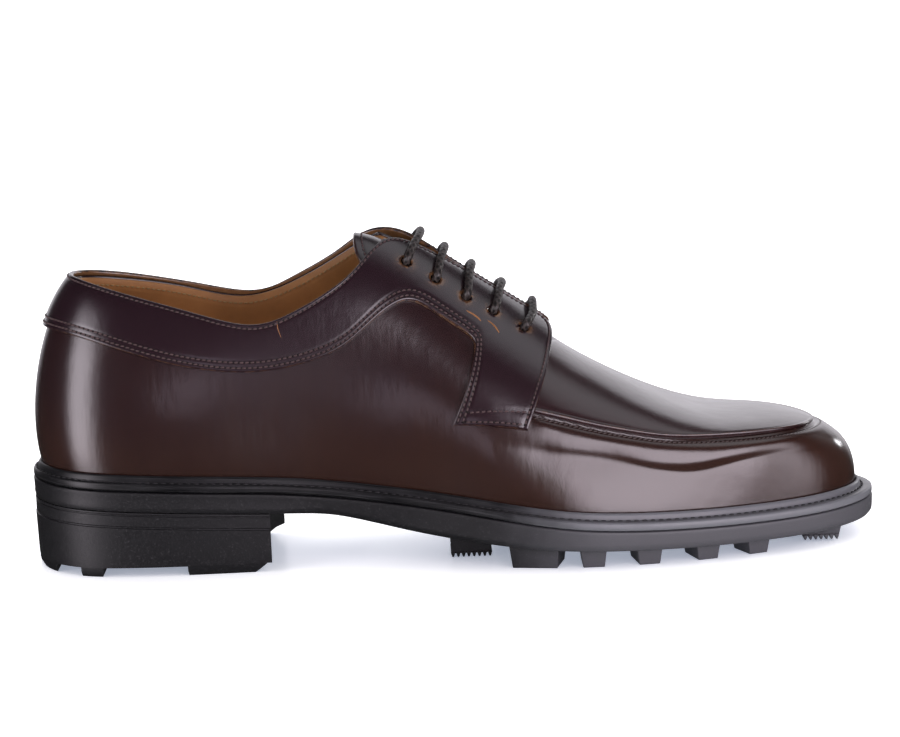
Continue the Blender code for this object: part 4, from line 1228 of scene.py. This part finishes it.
def make_tongue(leather):
    """The tongue: a sheet under the throat with a rounded top edge, following the last inside the upper."""
    across = np.linspace(-1.0, 1.0, TONGUE_ROWS)[None, :]
    down = np.linspace(0.0, 1.0, TONGUE_COLUMNS)[:, None] ** 1.3
    start = TONGUE_TOP + TONGUE_CURVE * across ** 4
    station = start + (TONGUE_FOOT - start) * down
    taper = (station - TONGUE_TOP) / (TONGUE_FOOT - TONGUE_TOP)
    half = TONGUE_HALF_TOP + (TONGUE_HALF_FOOT - TONGUE_HALF_TOP) * taper
    turn = np.where(across <= 0.0, station, LOOP - station)
    edge = share_at_width(turn.ravel(), half.ravel()).reshape(turn.shape)
    share = edge * np.abs(across) + 1.0 - np.abs(across)
    from_edge = np.minimum((station - start) * 1.15, half * (1.0 - np.abs(across)))
    groove = 0.15 * bell(station - start, TONGUE_ROW, 0.6)
    height = rounded_height(from_edge, TONGUE_THICK, TONGUE_ROUND) - groove
    drop = -(UPPER_WALL + TONGUE_DROP + TONGUE_THICK)
    outer = last_surface(turn, share, drop + height)
    inner = last_surface(turn, share, drop)
    fields = {"wear": (0.3 * bell(from_edge, 0.0, 0.2), np.ones(from_edge.shape))}
    made = sheet_solid("tongue_skin", outer, inner, leather, None, None, fields)
    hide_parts("tongue")


def sole_plan(columns):
    """Rib plan of evenly spread columns round the sole."""
    return rib_plan(np.linspace(0.0, LOOP, columns, endpoint=False))


def sole_ring(plan, setback, line, lift):
    """Points round the shoe at a setback from the outline, at a height from one of the sole lines."""
    far = reach(plan, set_in(setback))
    x = plan[0] + far * plan[2]
    return np.stack((x, plan[1] + far * plan[3], from_table(SOLE_LINE, line, x) + lift), 1)


def spine_ring(plan, line, lift):
    """Points on the spine, where the flat faces of a sole piece close."""
    return np.stack((plan[0], plan[1], from_table(SOLE_LINE, line, plan[0]) + lift), 1)


def between(first, second, shares):
    """Rings at shares of the way from one ring to another."""
    return [first * (1.0 - share) + second * share for share in shares]


def make_insole(leather):
    """The sock over the insole board: flat, with a softly rounded edge that turns up at the wall."""
    plan = sole_plan(INSOLE_COLUMNS)
    setback = FEATHER_IN + UPPER_WALL + INSOLE_CLEAR
    low = 2.0 * GAP
    top = low + INSOLE_THICK
    edge = ((setback, low), (setback, top - 0.3), (setback + 0.5, top + 0.15))
    rim = sole_ring(plan, setback + 3.0, WELT_TOP, top)
    rings = [spine_ring(plan, WELT_TOP, low)]
    rings += [sole_ring(plan, inset, WELT_TOP, lift) for inset, lift in edge]
    rings += between(rim, spine_ring(plan, WELT_TOP, top), (0.0, 0.15, 0.3, 0.5, 0.7, 0.85, 1.0))
    points = np.stack(rings, 1)
    made = put_mesh("insole_sock", points, grid_quads(points.shape[0], points.shape[1], True), leather)
    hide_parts("insole")


def welt_profile():
    """Corners of the welt's cross-section: setback from the outline and height from its flat."""
    lip = FEATHER_IN - GAP
    outer_lip = lip - LIP_WIDTH
    return (
        (0.6, -WELT_EDGE),
        (0.25, -WELT_EDGE + 0.25),
        (0.1, -WELT_EDGE + 0.7),
        (0.1, -1.0),
        (0.25, -0.45),
        (0.65, -0.1),
        (1.2, 0.0),
        (outer_lip - 1.3, 0.0),
        (outer_lip - 0.9, -0.22),
        (outer_lip - 0.45, -0.30),
        (outer_lip - 0.1, -0.05),
        (outer_lip + 0.1, 0.8),
        (outer_lip + 0.25, 1.6),
        (outer_lip + 0.55, 2.15),
        (outer_lip + 0.95, LIP_HEIGHT),
        (lip - 0.45, LIP_HEIGHT - 0.15),
        (lip - 0.15, 1.7),
        (lip - 0.05, 0.0),
        (WELT_REACH, 0.0),
        (WELT_REACH, -WELT_EDGE),
    )


def make_welt(leather):
    """The welt: its cross-section carried round the shoe, a raised lip with a sewn groove at its foot."""
    plan = sole_plan(SOLE_COLUMNS)
    rings = np.stack([sole_ring(plan, setback, WELT_TOP, lift) for setback, lift in welt_profile()], 1)
    around = walked(rings[:, 5]) * MM
    down = np.arange(rings.shape[1]) * MM
    uv = np.stack(np.broadcast_arrays(around[:, None], down[None, :]), -1)
    made = ring_solid("welt_ring", rings, leather, uv=uv)
    sharpen(made, 50.0)
    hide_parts("welt")


def make_outsole(rubber):
    """The outsole slab: a lower edge bevelled less over the heel, a side with a fine line under the welt."""
    plan = sole_plan(SOLE_COLUMNS)
    top = -WELT_EDGE - GAP
    bevel = HEEL_BEVEL + (1.0 - HEEL_BEVEL) * soft_step(EDGE[:, 0], *HEEL_SEAT)
    low_edge = sole_ring(plan, 2.0 * bevel, UNDERSIDE, 0.0)
    low_middle = spine_ring(plan, UNDERSIDE, 0.0)
    high_edge = sole_ring(plan, 0.6, WELT_TOP, top)
    rings = between(low_middle, low_edge, (0.0, 0.5, 0.9, 1.0))
    rings += [
        sole_ring(plan, 1.5 * bevel, UNDERSIDE, 0.2),
        sole_ring(plan, 0.6 * bevel, UNDERSIDE, 1.25),
        sole_ring(plan, 0.3 * bevel, UNDERSIDE, 1.8),
        sole_ring(plan, 0.2, UNDERSIDE, 2.6),
        sole_ring(plan, 0.05, WELT_TOP, top - 1.4),
        sole_ring(plan, 0.0, WELT_TOP, top - 0.8),
        sole_ring(plan, 0.12, WELT_TOP, top - 0.3),
    ]
    rings += between(high_edge, spine_ring(plan, WELT_TOP, top), (0.0, 0.1, 0.5, 1.0))
    points = np.stack(rings, 1)
    made = put_mesh("outsole_slab", points, grid_quads(points.shape[0], points.shape[1], True), rubber)
    sharpen(made, 40.0)
    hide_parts("outsole")


def block_points(length, width, low, high, draft):
    """Corners of a tapered block about its own middle: narrower by the draft at its low face."""
    corner = np.array(((-1, -1), (1, -1), (1, 1), (-1, 1)), float) / 2.0
    floor = corner * np.array((length - 2.0 * draft, width - 2.0 * draft))
    root = corner * np.array((length, width))
    levels = np.repeat((low, high), 4)[:, None]
    return np.concatenate((np.concatenate((floor, root)), levels), axis=1)


BLOCK_QUADS = np.array(
    ((3, 2, 1, 0), (4, 5, 6, 7), (0, 1, 5, 4), (1, 2, 6, 5), (2, 3, 7, 6), (3, 0, 4, 7)))


def lug_places():
    """Place, size and turn of every lug under the forefoot, and whether its tread is toothed."""
    places = [(x, y, length, width, 0.0, toothed) for x, y, length, width, toothed in INNER_LUGS]
    for lateral_x, medial_x, length, width in EDGE_LUGS:
        for side, x in ((LATERAL, lateral_x), (MEDIAL, medial_x)):
            near = np.where(EDGE[:, 1] * side > 0.0, np.abs(EDGE[:, 0] - x), 1e9).argmin()
            inward = EDGE_IN[near]
            angle = math.atan2(inward[1], inward[0]) - math.pi / 2.0
            middle = EDGE[near] + inward * (EDGE_LUG_SETBACK + width / 2.0)
            places.append((middle[0], middle[1], length, width, angle, False))
    return places


def make_tread(rubber):
    """The forefoot lugs: tapered blocks, some with a row of fine teeth across their tread."""
    blocks = []
    for x, y, length, width, angle, toothed in lug_places():
        floor = TOE_LIFT * max(x - TOE_LIFT_START, 0.0) ** 2
        root = float(from_table(SOLE_LINE, UNDERSIDE, np.array([x]))[0]) + LUG_SINK
        parts = [(0.0, length, floor + (TOOTH_HEIGHT if toothed else 0.0), root, LUG_DRAFT)]
        if toothed:
            count = int(length // TOOTH_PITCH)
            spots = (np.arange(count) - (count - 1) / 2.0) * TOOTH_PITCH
            tooth = (TOOTH_PITCH * 0.9, floor, floor + TOOTH_HEIGHT + 0.6, TOOTH_PITCH * 0.3)
            parts += [(spot,) + tooth for spot in spots]
        turn = np.array(((math.cos(angle), math.sin(angle)), (-math.sin(angle), math.cos(angle))))
        for spot, size, low, high, draft in parts:
            block = block_points(size, width, low, high, draft)
            block[:, 0] += spot
            block[:, :2] = block[:, :2] @ turn + (x, y)
            blocks.append((block, BLOCK_QUADS))
    made = put_mesh("tread_lugs", *joined(blocks), rubber)
    sharpen(made, 30.0)
    round_edges(made, 0.35)


def heel_sides(x, setback):
    """Lateral and medial edges of the heel at places along it, at a setback from the outline."""
    curve = set_in(setback)
    half = len(curve) // 2
    lateral = curve[:half + 1]
    medial = np.concatenate((curve[half:], curve[:1]))[::-1]
    return np.interp(x, lateral[:, 0], lateral[:, 1]), np.interp(x, medial[:, 0], medial[:, 1])


def heel_sheet(start, end, setback, height, hollow):
    """A level sheet of a heel lug: rows from edge to edge, the last ones following a hollowed front."""
    along = np.linspace(0.0, 1.0, LUG_COLUMNS)
    x = start + (end - start) * along
    lateral, medial = heel_sides(x, setback)
    share = np.linspace(0.0, 1.0, LUG_ROWS)[None, :]
    y = lateral[:, None] * (1.0 - share) + medial[:, None] * share
    slant = BREAST_SLANT if hollow else 0.0
    drawn_in = x[:, None] - along[:, None] * (hollow * 4.0 * share * (1.0 - share) + slant * share)
    return np.stack((drawn_in, y, np.full(y.shape, height)), -1)


def heel_profile():
    """Rings of the heel's side from its tread up: height, from the top if under zero, and setback."""
    return (
        (HEEL_NOTCH_DEPTH - 0.2, 0.75),
        (4.6, 0.6),
        (8.0, 0.45),
        (-6.3, 0.12),
        (-5.75, 0.1),
        (-5.55, 0.5),
        (-5.25, 0.6),
        (-5.0, 0.5),
        (-4.85, 0.3),
        (-1.25, 0.3),
        (-1.1, 0.55),
        (-0.85, 0.6),
        (-0.65, 0.5),
        (-0.5, 0.2),
        (-0.01, 0.35),
    )


def heel_ring(setback):
    """Points round the heel at a setback: back to breast on the lateral side, across, and back, in pairs."""
    back = set_in(setback)[:, 0].min()
    run = 1.0 - np.cos(np.linspace(0.0, math.pi / 2.0, HEEL_COLUMNS))
    x = back + (HEEL_BREAST - back) * run
    inner_x = back + (HEEL_BREAST - BREAST_SLANT - back) * run
    lateral = heel_sides(x, setback)[0]
    medial = heel_sides(inner_x, setback)[1]
    share = np.linspace(0.0, 1.0, BREAST_COLUMNS)[1:-1]
    front_x = HEEL_BREAST - BREAST_SLANT * share - BREAST_HOLLOW * 4.0 * share * (1.0 - share)
    front_y = lateral[-1] + (medial[-1] - lateral[-1]) * share
    ring_x = np.concatenate((x, front_x, inner_x[:0:-1]))
    return np.stack((ring_x, np.concatenate((lateral, front_y, medial[:0:-1]))), 1)


def make_heel(rubber):
    """The heel block: rings of the outline behind a hollowed breast, with fine lines round a sunken band.

    Its flat faces close on a middle line that ends far enough back for the hollow to stay open.
    """
    rings = []
    for height, setback in heel_profile():
        flat = heel_ring(setback)
        top = from_table(SOLE_LINE, UNDERSIDE, flat[:, 0]) - GAP + height
        rings.append(np.column_stack((flat, np.full(len(flat), height) if height >= 0.0 else top)))
    opposite = -np.arange(len(rings[0])) % len(rings[0])
    low, high = ((ring + ring[opposite]) / 2.0 for ring in (rings[0], rings[-1]))
    for middle in (low, high):
        middle[:, 0] = np.minimum(middle[:, 0], HEEL_BREAST - 2.0 * BREAST_HOLLOW)
    points = np.stack([low] + rings + [high], 1)
    made = put_mesh("heel_block", points, grid_quads(points.shape[0], points.shape[1], True), rubber)
    sharpen(made, 32.0)
    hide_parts("heel")


def make_heel_tread(rubber):
    """The heel's lugs: slices of its outline between two places, drawn in at the floor, and two studs."""
    parts = []
    top = HEEL_NOTCH_DEPTH + 0.6
    for lug in HEEL_LUGS:
        start, end = lug
        chamfer, hollow = (BREAST_CHAMFER, BREAST_HOLLOW) if lug == FRONT_LUG else (HEEL_LUG_CHAMFER, 0.0)
        floor = heel_sheet(start + 0.4, end - chamfer, 2.0, 0.0, hollow)
        waist = heel_sheet(start + 0.1, end - 0.6 * chamfer, 1.1, 1.6, hollow)
        root = heel_sheet(start, end, 0.75, top, hollow)
        block = np.stack((floor, waist, root))
        around = (block[:, :, 0], block[:, -1, 1:], block[:, -2::-1, -1], block[:, 0, -2:0:-1])
        side = np.swapaxes(np.concatenate(around, axis=1), 0, 1)
        parts += [(sheet.reshape(-1, 3), grid_quads(LUG_COLUMNS, LUG_ROWS)) for sheet in (floor, root)]
        parts.append((side.reshape(-1, 3), grid_quads(side.shape[0], side.shape[1], True)))
    for x, y, length, width in HEEL_STUDS:
        stud = block_points(length, width, 0.0, top, LUG_DRAFT)
        stud[:, :2] += (x, y)
        parts.append((stud, BLOCK_QUADS))
    made = put_mesh("heel_tread", *joined(parts), rubber)
    sharpen(made, 30.0)
    round_edges(made, 0.3)


def frames_along(path, over, pitch):
    """Even places along a path: middles, and directions along, aside and up to a second path over it."""
    length = walked(path)
    count = max(int(length[-1] // pitch), 1)
    at = (np.arange(count) + 0.5) * length[-1] / count
    middles = read_path(at, length, path)
    along = unit(read_path(at + 0.3, length, path) - read_path(at - 0.3, length, path))
    up = read_path(at, length, over) - middles
    up = unit(up - along * (up * along).sum(1, keepdims=True))
    return middles, along, np.cross(up, along), up


def row_on_last(turn, share, height, over, pitch=STITCH_PITCH):
    """Places of a row of stitches at a height over the last, standing up towards a second height."""
    return frames_along(last_surface(turn, share, height), last_surface(turn, share, over), pitch)


def thread_template(length, radius, slant):
    """Points of one stitch: a ring carried along an arc that dives into the leather at both ends."""
    place = np.linspace(-1.0, 1.0, STITCH_STEPS)
    ring = np.linspace(0.0, 2.0 * math.pi, TUBE_SIDES, endpoint=False)
    thick = radius * np.sqrt(np.clip(1.08 - place ** 4, 0.05, 1.0))
    rise = radius * (0.75 - 1.5 * place ** 4)
    along = np.repeat((place * length / 2.0)[:, None], TUBE_SIDES, 1)
    aside = thick[:, None] * np.cos(ring)[None, :] + slant * along
    up = thick[:, None] * np.sin(ring)[None, :] + rise[:, None]
    return np.stack((along, aside, up), -1)


def sew(rows, name, thread, length=STITCH_LENGTH, radius=THREAD_RADIUS, slant=0.1):
    """Stitches along rows of places: one template set into every place's own frame, all in one mesh."""
    template = thread_template(length, radius, slant).reshape(-1, 3)
    middles, along, aside, up = (np.concatenate(parts) for parts in zip(*rows))
    points = (middles[:, None, :] + template[None, :, 0:1] * along[:, None, :]
              + template[None, :, 1:2] * aside[:, None, :] + template[None, :, 2:3] * up[:, None, :])
    put_mesh(name, points, tube_quads(len(middles), STITCH_STEPS), thread)


def prick(rows, name, dark):
    """Needle holes between stitches: small flat discs of painted shade on the leather, halfway from one
    stitch to the next.
    """
    middles, along, aside, up = (np.concatenate(parts) for parts in zip(*rows))
    ring = np.linspace(0.0, 2.0 * math.pi, HOLE_SIDES, endpoint=False)
    centre = middles + along * (0.5 * STITCH_PITCH) + up * 0.06
    rim = (centre[:, None, :] + HOLE_RADIUS * np.cos(ring)[None, :, None] * along[:, None, :]
           + HOLE_RADIUS * np.sin(ring)[None, :, None] * aside[:, None, :])
    back = rim - 0.12 * up[:, None, :]
    points = np.concatenate((rim, back), axis=1)
    face = np.array(((0, 1, 2, 3), (0, 3, 4, 7), (4, 5, 6, 7)))
    step = np.arange(HOLE_SIDES)
    following = (step + 1) % HOLE_SIDES
    walls = np.stack((step, following, HOLE_SIDES + following, HOLE_SIDES + step), 1)
    one = np.concatenate((face, face[:, ::-1] + HOLE_SIDES, walls))
    quads = one[None, :, :] + 2 * HOLE_SIDES * np.arange(len(middles))[:, None, None]
    put_mesh(name, points, quads, dark)


def facing_row(side, rungs, across):
    """Places of a row of stitches on a facing."""
    path = facing_at(side, rungs, across, FACING_THICK - ROW_BED)
    over = facing_at(side, rungs, across, FACING_THICK + 1.0)
    return frames_along(path, over, STITCH_PITCH)


def sew_facing(name, side, thread, dark):
    """The stitching of one facing: along its top and front, two rows at its lower edge, two on the tab."""
    rung, length = rung_lengths(side)
    dense = np.linspace(0.03, LAST_RUNG, 1600)
    width = facing_width(side, dense)
    from_end = length[-1] - np.interp(dense, rung, length)
    run = from_end > TAB_ROWS[0]
    rows = [facing_row(side, dense[run], TOP_ROW / width[run])]
    rows += [facing_row(side, dense[run], 1.0 - distance / width[run]) for distance in LOW_ROWS]
    for distance in TAB_ROWS:
        at = np.interp(length[-1] - distance, length, rung)
        across = np.linspace(0.09, 0.84, 200)
        rows.append(facing_row(side, np.full(len(across), at), across))
    sew(rows, name + "_stitches", thread)
    prick(rows, name + "_needle_holes", dark)


def sew_apron(thread):
    """The apron's twisted stitches: slanted, close together, in the groove just below the seam's lip."""
    rungs = apron_rungs(500)
    station, seam_z, _ = rungs[rungs[:, 0] > APRON_SEWN_FROM].T
    rows = []
    for side in (LATERAL, MEDIAL):
        turn = turn_of(station, side)
        rows.append(row_on_last(turn, share_at_height(turn, seam_z - 1.05), -0.28, 1.0, APRON_PITCH))
    sew(rows, "apron_stitches", thread, *APRON_STITCH)


def sew_lining(thread):
    """A row of stitches inside the collar, through the lining under its top edge."""
    rows = []
    for side in (LATERAL, MEDIAL):
        turn = turn_of(np.linspace(4.0, 147.0, 500), side)
        share = upper_top(turn)
        length = np.linalg.norm(last_point(turn, share) - last_point(turn, share - 0.02), axis=1)
        below = share - 0.02 * LINING_ROW / length
        rows.append(row_on_last(turn, below, -UPPER_WALL - 0.02, -UPPER_WALL - 1.0))
    sew(rows, "collar_stitches", thread)


def sew_tongue(thread):
    """A row of stitches along the tongue's top edge."""
    across = np.linspace(-0.94, 0.94, 300)
    station = TONGUE_TOP + TONGUE_CURVE * across ** 4 + TONGUE_ROW
    turn = np.where(across <= 0.0, station, LOOP - station)
    edge = share_at_width(turn, np.full(len(turn), TONGUE_HALF_TOP))
    share = edge * np.abs(across) + 1.0 - np.abs(across)
    skin = -(UPPER_WALL + TONGUE_DROP)
    sew([row_on_last(turn, share, skin - ROW_BED, skin + 1.0)], "tongue_stitches", thread)


def sew_welt(thread):
    """The welt's stitches in the groove at the foot of its lip."""
    plan = sole_plan(1200)
    setback = FEATHER_IN - GAP - LIP_WIDTH - 0.6
    path = sole_ring(plan, setback, WELT_TOP, -0.22)
    over = path + (0.0, 0.0, 1.0)
    sew([frames_along(path, over, WELT_PITCH)], "welt_stitches", thread, *WELT_STITCH)


def bar_points(place):
    """Places of one lace bar from its lateral eyelet over the slit to the medial one."""
    rung, across, crossing = place
    spread = np.array((1.0, 1.0, 0.84, 0.6, 0.32, 0.04))
    rise = np.array((0.4, 2.9, 3.35, 3.35, 3.35, 3.6))
    along = crossing + (rung - crossing) * spread ** 1.3
    sides = [facing_at(side, along, across * spread, rise) for side in (LATERAL, MEDIAL)]
    return np.concatenate((sides[0], sides[1][::-1]))


def hidden_run(side, from_bar, to_bar):
    """The lace inside the shoe between two eyelets of one side, close under the lining."""
    start, end = EYELETS[from_bar], EYELETS[to_bar]
    share = np.linspace(0.0, 1.0, 5)[1:-1]
    rung = start[0] + (end[0] - start[0]) * share
    across = start[1] + (end[1] - start[1]) * share
    turn, up, _ = facing_place(side, rung, across)
    return last_surface(turn, up, -LACE_DEPTH)


def lace_route():
    """The lace's route: both ends climb inside from the lowest bar, by turns, to the top eyelets."""
    bars = [bar_points(place) for place in EYELETS]
    knots = np.concatenate((
        hidden_run(LATERAL, 0, 1),
        bars[1],
        hidden_run(MEDIAL, 1, 3),
        bars[3][::-1],
        hidden_run(LATERAL, 3, 4),
        bars[4],
        hidden_run(MEDIAL, 4, 2),
        bars[2][::-1],
        hidden_run(LATERAL, 2, 0),
        bars[0],
    ))
    at = walked(knots)
    fine = np.linspace(0.0, at[-1], 2600)
    route = 0.75 * smooth_path(fine, at, knots) + 0.25 * read_path(fine, at, knots)
    length = walked(route)
    even = np.linspace(0.0, length[-1], int(length[-1] / LACE_STEP))
    return read_path(even, length, route), even


def make_lace(cord):
    """The waxed lace: a round tube with a braid of two crossing sets of strands in relief."""
    route, along = lace_route()
    tangent = unit(np.gradient(route, axis=0))
    reference = np.array((0.92, 0.11, 0.38))
    aside = unit(np.cross(tangent, reference))
    up = np.cross(aside, tangent)
    around = np.linspace(0.0, 2.0 * math.pi, LACE_SIDES, endpoint=False)[None, :]
    twist = along[:, None] * (2.0 * math.pi / LACE_BRAID)
    strand = np.clip(np.maximum(np.cos(4.0 * around - twist), np.cos(4.0 * around + twist)), 0.0, 1.0)
    radius = LACE_RADIUS * (0.86 + 0.14 * strand)
    out = np.cos(around)[..., None] * aside[:, None, :] + np.sin(around)[..., None] * up[:, None, :]
    points = route[:, None, :] + radius[..., None] * out
    middle = [np.repeat(route[end][None, None, :], LACE_SIDES, 1) for end in (0, -1)]
    points = np.concatenate((middle[0], points, middle[1]))
    strand = np.concatenate((strand[:1], strand, strand[-1:]))
    quads = grid_quads(points.shape[0], LACE_SIDES, False, True)
    made = put_mesh("lace", points, quads, cord, {"strand": strand})
    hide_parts(*("lace_bar_%d" % number for number in range(1, 6)))


def make_floor():
    """The table and its sweep, in metres: flat under the shoe, curving up behind it into a wall."""
    columns, flat_rows, wall_rows = 17, 12, 5
    back, bend = 1.6, 0.8
    arc = np.linspace(0.0, math.pi / 2.0, columns)[1:]
    wall = np.full(wall_rows, back + bend)
    deep = np.concatenate((np.linspace(-3.5, back, flat_rows), back + bend * np.sin(arc), wall))
    high = np.concatenate((np.zeros(flat_rows), bend * (1.0 - np.cos(arc)), np.linspace(1.1, 3.4, wall_rows)))
    across = np.linspace(-4.0, 4.0, columns)[:, None]
    points = np.stack(np.broadcast_arrays(across, deep[None, :], high[None, :]), -1).reshape(-1, 3)
    quads = grid_quads(columns, len(deep)).reshape(-1, 4)
    mesh = bpy.data.meshes.new("studio_floor")
    mesh.from_pydata(points.tolist(), [], quads.tolist())
    mesh.shade_smooth()
    mesh.materials.append(studio_floor("table"))
    floor = bpy.data.objects.new("studio_floor", mesh)
    bpy.context.scene.collection.objects.link(floor)
    floor.visible_glossy = False


SOFT_BOXES = (  # name, place, aim, size, watts, colour, share of the box over which its edges fade
    ("overhead", (0.55, 0.10, 1.25), (0.55, 0.10, 0.0), (2.0, 1.5), 6.0, (0.95, 0.95, 1.0), 0.4),
    ("behind", (0.05, 1.35, 0.60), (0.05, 0.0, 0.60), (2.7, 1.8), 16.0, (0.97, 0.94, 1.0), 0.25),
    ("heel_box", (-0.54, -0.317, 0.12), (-0.13, -0.03, 0.12), (0.50, 1.2), 6.2, (1.0, 0.92, 1.0), 0.4),
    ("front_box", (0.385, -0.56, 0.165), (0.385, 0.0, 0.165), (0.83, 0.70), 5.8, (1.0, 0.90, 1.0), 0.2),
    ("toe_side", (0.68, -0.32, 0.08), (0.115, -0.03, 0.08), (0.54, 0.70), 2.1, (1.0, 0.91, 1.0), 0.4),
    ("waist_card", (-0.11, -0.367, 0.116), (-0.021, -0.034, 0.055), (0.07, 0.16), 0.03,
     (0.95, 0.82, 1.0), 0.4),
    ("toe_spark", (0.95, 0.80, 0.30), (0.138, -0.012, 0.035), (0.20, 0.20), 2.4, (0.97, 0.97, 1.0), 0.4),
)


def soft_box(name, place, aim, size, power, colour, edge):
    """A rectangular studio light turned towards a point, bright in its middle and fading over its edges."""
    lamp = bpy.data.lights.new(name, "AREA")
    lamp.shape = "RECTANGLE"
    lamp.size, lamp.size_y = size
    lamp.energy = power
    lamp.color = colour
    lamp.use_nodes = True
    tree = lamp.node_tree
    spot = add_node(tree, "ShaderNodeNewGeometry").outputs["Parametric"]
    spot = add_node(tree, "ShaderNodeSeparateXYZ", {0: spot})
    fades = []
    for axis in ("X", "Y"):
        inward = add_node(tree, "ShaderNodeMath", {0: spot.outputs[axis], 1: 0.5}, operation="PINGPONG")
        inputs = {"Value": inward.outputs[0], "From Max": edge}
        fades.append(add_node(tree, "ShaderNodeMapRange", inputs, interpolation_type="SMOOTHSTEP").outputs[0])
    level = add_node(tree, "ShaderNodeMath", dict(enumerate(fades)), operation="MULTIPLY")
    tree.links.new(level.outputs[0], tree.nodes["Emission"].inputs["Strength"])
    made = bpy.data.objects.new(name, lamp)
    made.location = place
    made.rotation_mode = "QUATERNION"
    made.rotation_quaternion = (Vector(aim) - Vector(place)).to_track_quat("-Z", "Y")
    made.visible_camera = False
    bpy.context.scene.collection.objects.link(made)


def light_studio():
    """The soft boxes, a faint even light from all round, and plain colours in the picture."""
    for box in SOFT_BOXES:
        soft_box(*box)
    world = bpy.data.worlds.new("studio")
    world.use_nodes = True
    background = world.node_tree.nodes["Background"]
    background.inputs["Color"].default_value = (1.0, 1.0, 1.0, 1.0)
    background.inputs["Strength"].default_value = 0.02
    bpy.context.scene.world = world
    bpy.context.scene.view_settings.view_transform = "Standard"


# The photograph's viewpoint: a little above the floor, the outer side square on, turned and rolled slightly
CAMERA_ELEVATION = math.radians(9.0)
CAMERA_YAW = math.radians(0.5)
CAMERA_ROLL = math.radians(2.2)
CAMERA_DISTANCE = 1.1
CAMERA_AIM = Vector((0.0, 0.0, 0.065))
CAMERA_LENS = 121.0


def aim_camera():
    """The camera at its distance from the aim point, from its elevation, yaw and roll."""
    level = Vector((math.sin(CAMERA_YAW), math.cos(CAMERA_YAW), 0.0))
    side = Vector((math.cos(CAMERA_YAW), -math.sin(CAMERA_YAW), 0.0))
    upright = Vector((0.0, 0.0, 1.0))
    look = math.cos(CAMERA_ELEVATION) * level - math.sin(CAMERA_ELEVATION) * upright
    rise = math.sin(CAMERA_ELEVATION) * level + math.cos(CAMERA_ELEVATION) * upright
    right = math.cos(CAMERA_ROLL) * side - math.sin(CAMERA_ROLL) * rise
    up = math.sin(CAMERA_ROLL) * side + math.cos(CAMERA_ROLL) * rise
    lens = bpy.data.cameras.new("camera")
    lens.sensor_width = 36.0
    lens.lens = CAMERA_LENS
    camera = bpy.data.objects.new("camera", lens)
    turned = Matrix((right, up, -look)).transposed().to_4x4()
    camera.matrix_world = Matrix.Translation(CAMERA_AIM - look * CAMERA_DISTANCE) @ turned
    bpy.context.scene.collection.objects.link(camera)
    bpy.context.scene.camera = camera


for leftover in list(bpy.data.objects):
    bpy.data.objects.remove(leftover)
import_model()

aim_camera()
light_studio()
make_floor()

upper_leather, facing_leather, apron_leather = (burnished_leather(*looks) for looks in (
    ("upper_leather", (0.037, 0.0138, 0.0076), (0.018, 0.0058, 0.0080), (20.0, 75.0)),
    ("facing_leather", (0.020, 0.0066, 0.0105), (0.017, 0.0056, 0.0100), (50.0, 100.0)),
    ("apron_leather", (0.030, 0.0100, 0.0110), (0.024, 0.0080, 0.0105), (40.0, 60.0)),
))
tan_lining = lining_leather("tan_lining", (0.52, 0.245, 0.08))
# The second colour of each rubber is its painted light at the forefoot.
sole_rubber = moulded_rubber("sole_rubber", (0.078, 0.078, 0.087))
heel_rubber = moulded_rubber("heel_rubber", (0.050, 0.050, 0.056))
brown_thread = waxed_thread("brown_thread", (0.085, 0.052, 0.052))
dark_thread = waxed_thread("dark_thread", (0.055, 0.038, 0.036))
black_thread = waxed_thread("black_thread", (0.022, 0.022, 0.024))
gold_thread = waxed_thread("gold_thread", (0.36, 0.24, 0.10))
# Near-black discs that paint the shade inside the needle holes.
needle_hole_shade = painted_hole_shade("needle_hole_shade")

make_lace(braided_cord("lace_cord"))
make_upper(upper_leather, tan_lining)
for facing_name, facing_side in (("facing_lateral", LATERAL), ("facing_medial", MEDIAL)):
    make_facing(facing_name, facing_side, facing_leather)
    sew_facing(facing_name, facing_side, brown_thread, needle_hole_shade)
make_scuffs(lining_leather("raw_leather", (0.40, 0.17, 0.055)))
make_apron(apron_leather)
sew_apron(dark_thread)
make_tongue(facing_leather)
sew_tongue(brown_thread)
sew_lining(gold_thread)
make_insole(tan_lining)
make_welt(dressed_welt("welt_leather"))
sew_welt(black_thread)
make_outsole(sole_rubber)
make_tread(sole_rubber)
make_heel(heel_rubber)
make_heel_tread(heel_rubber)
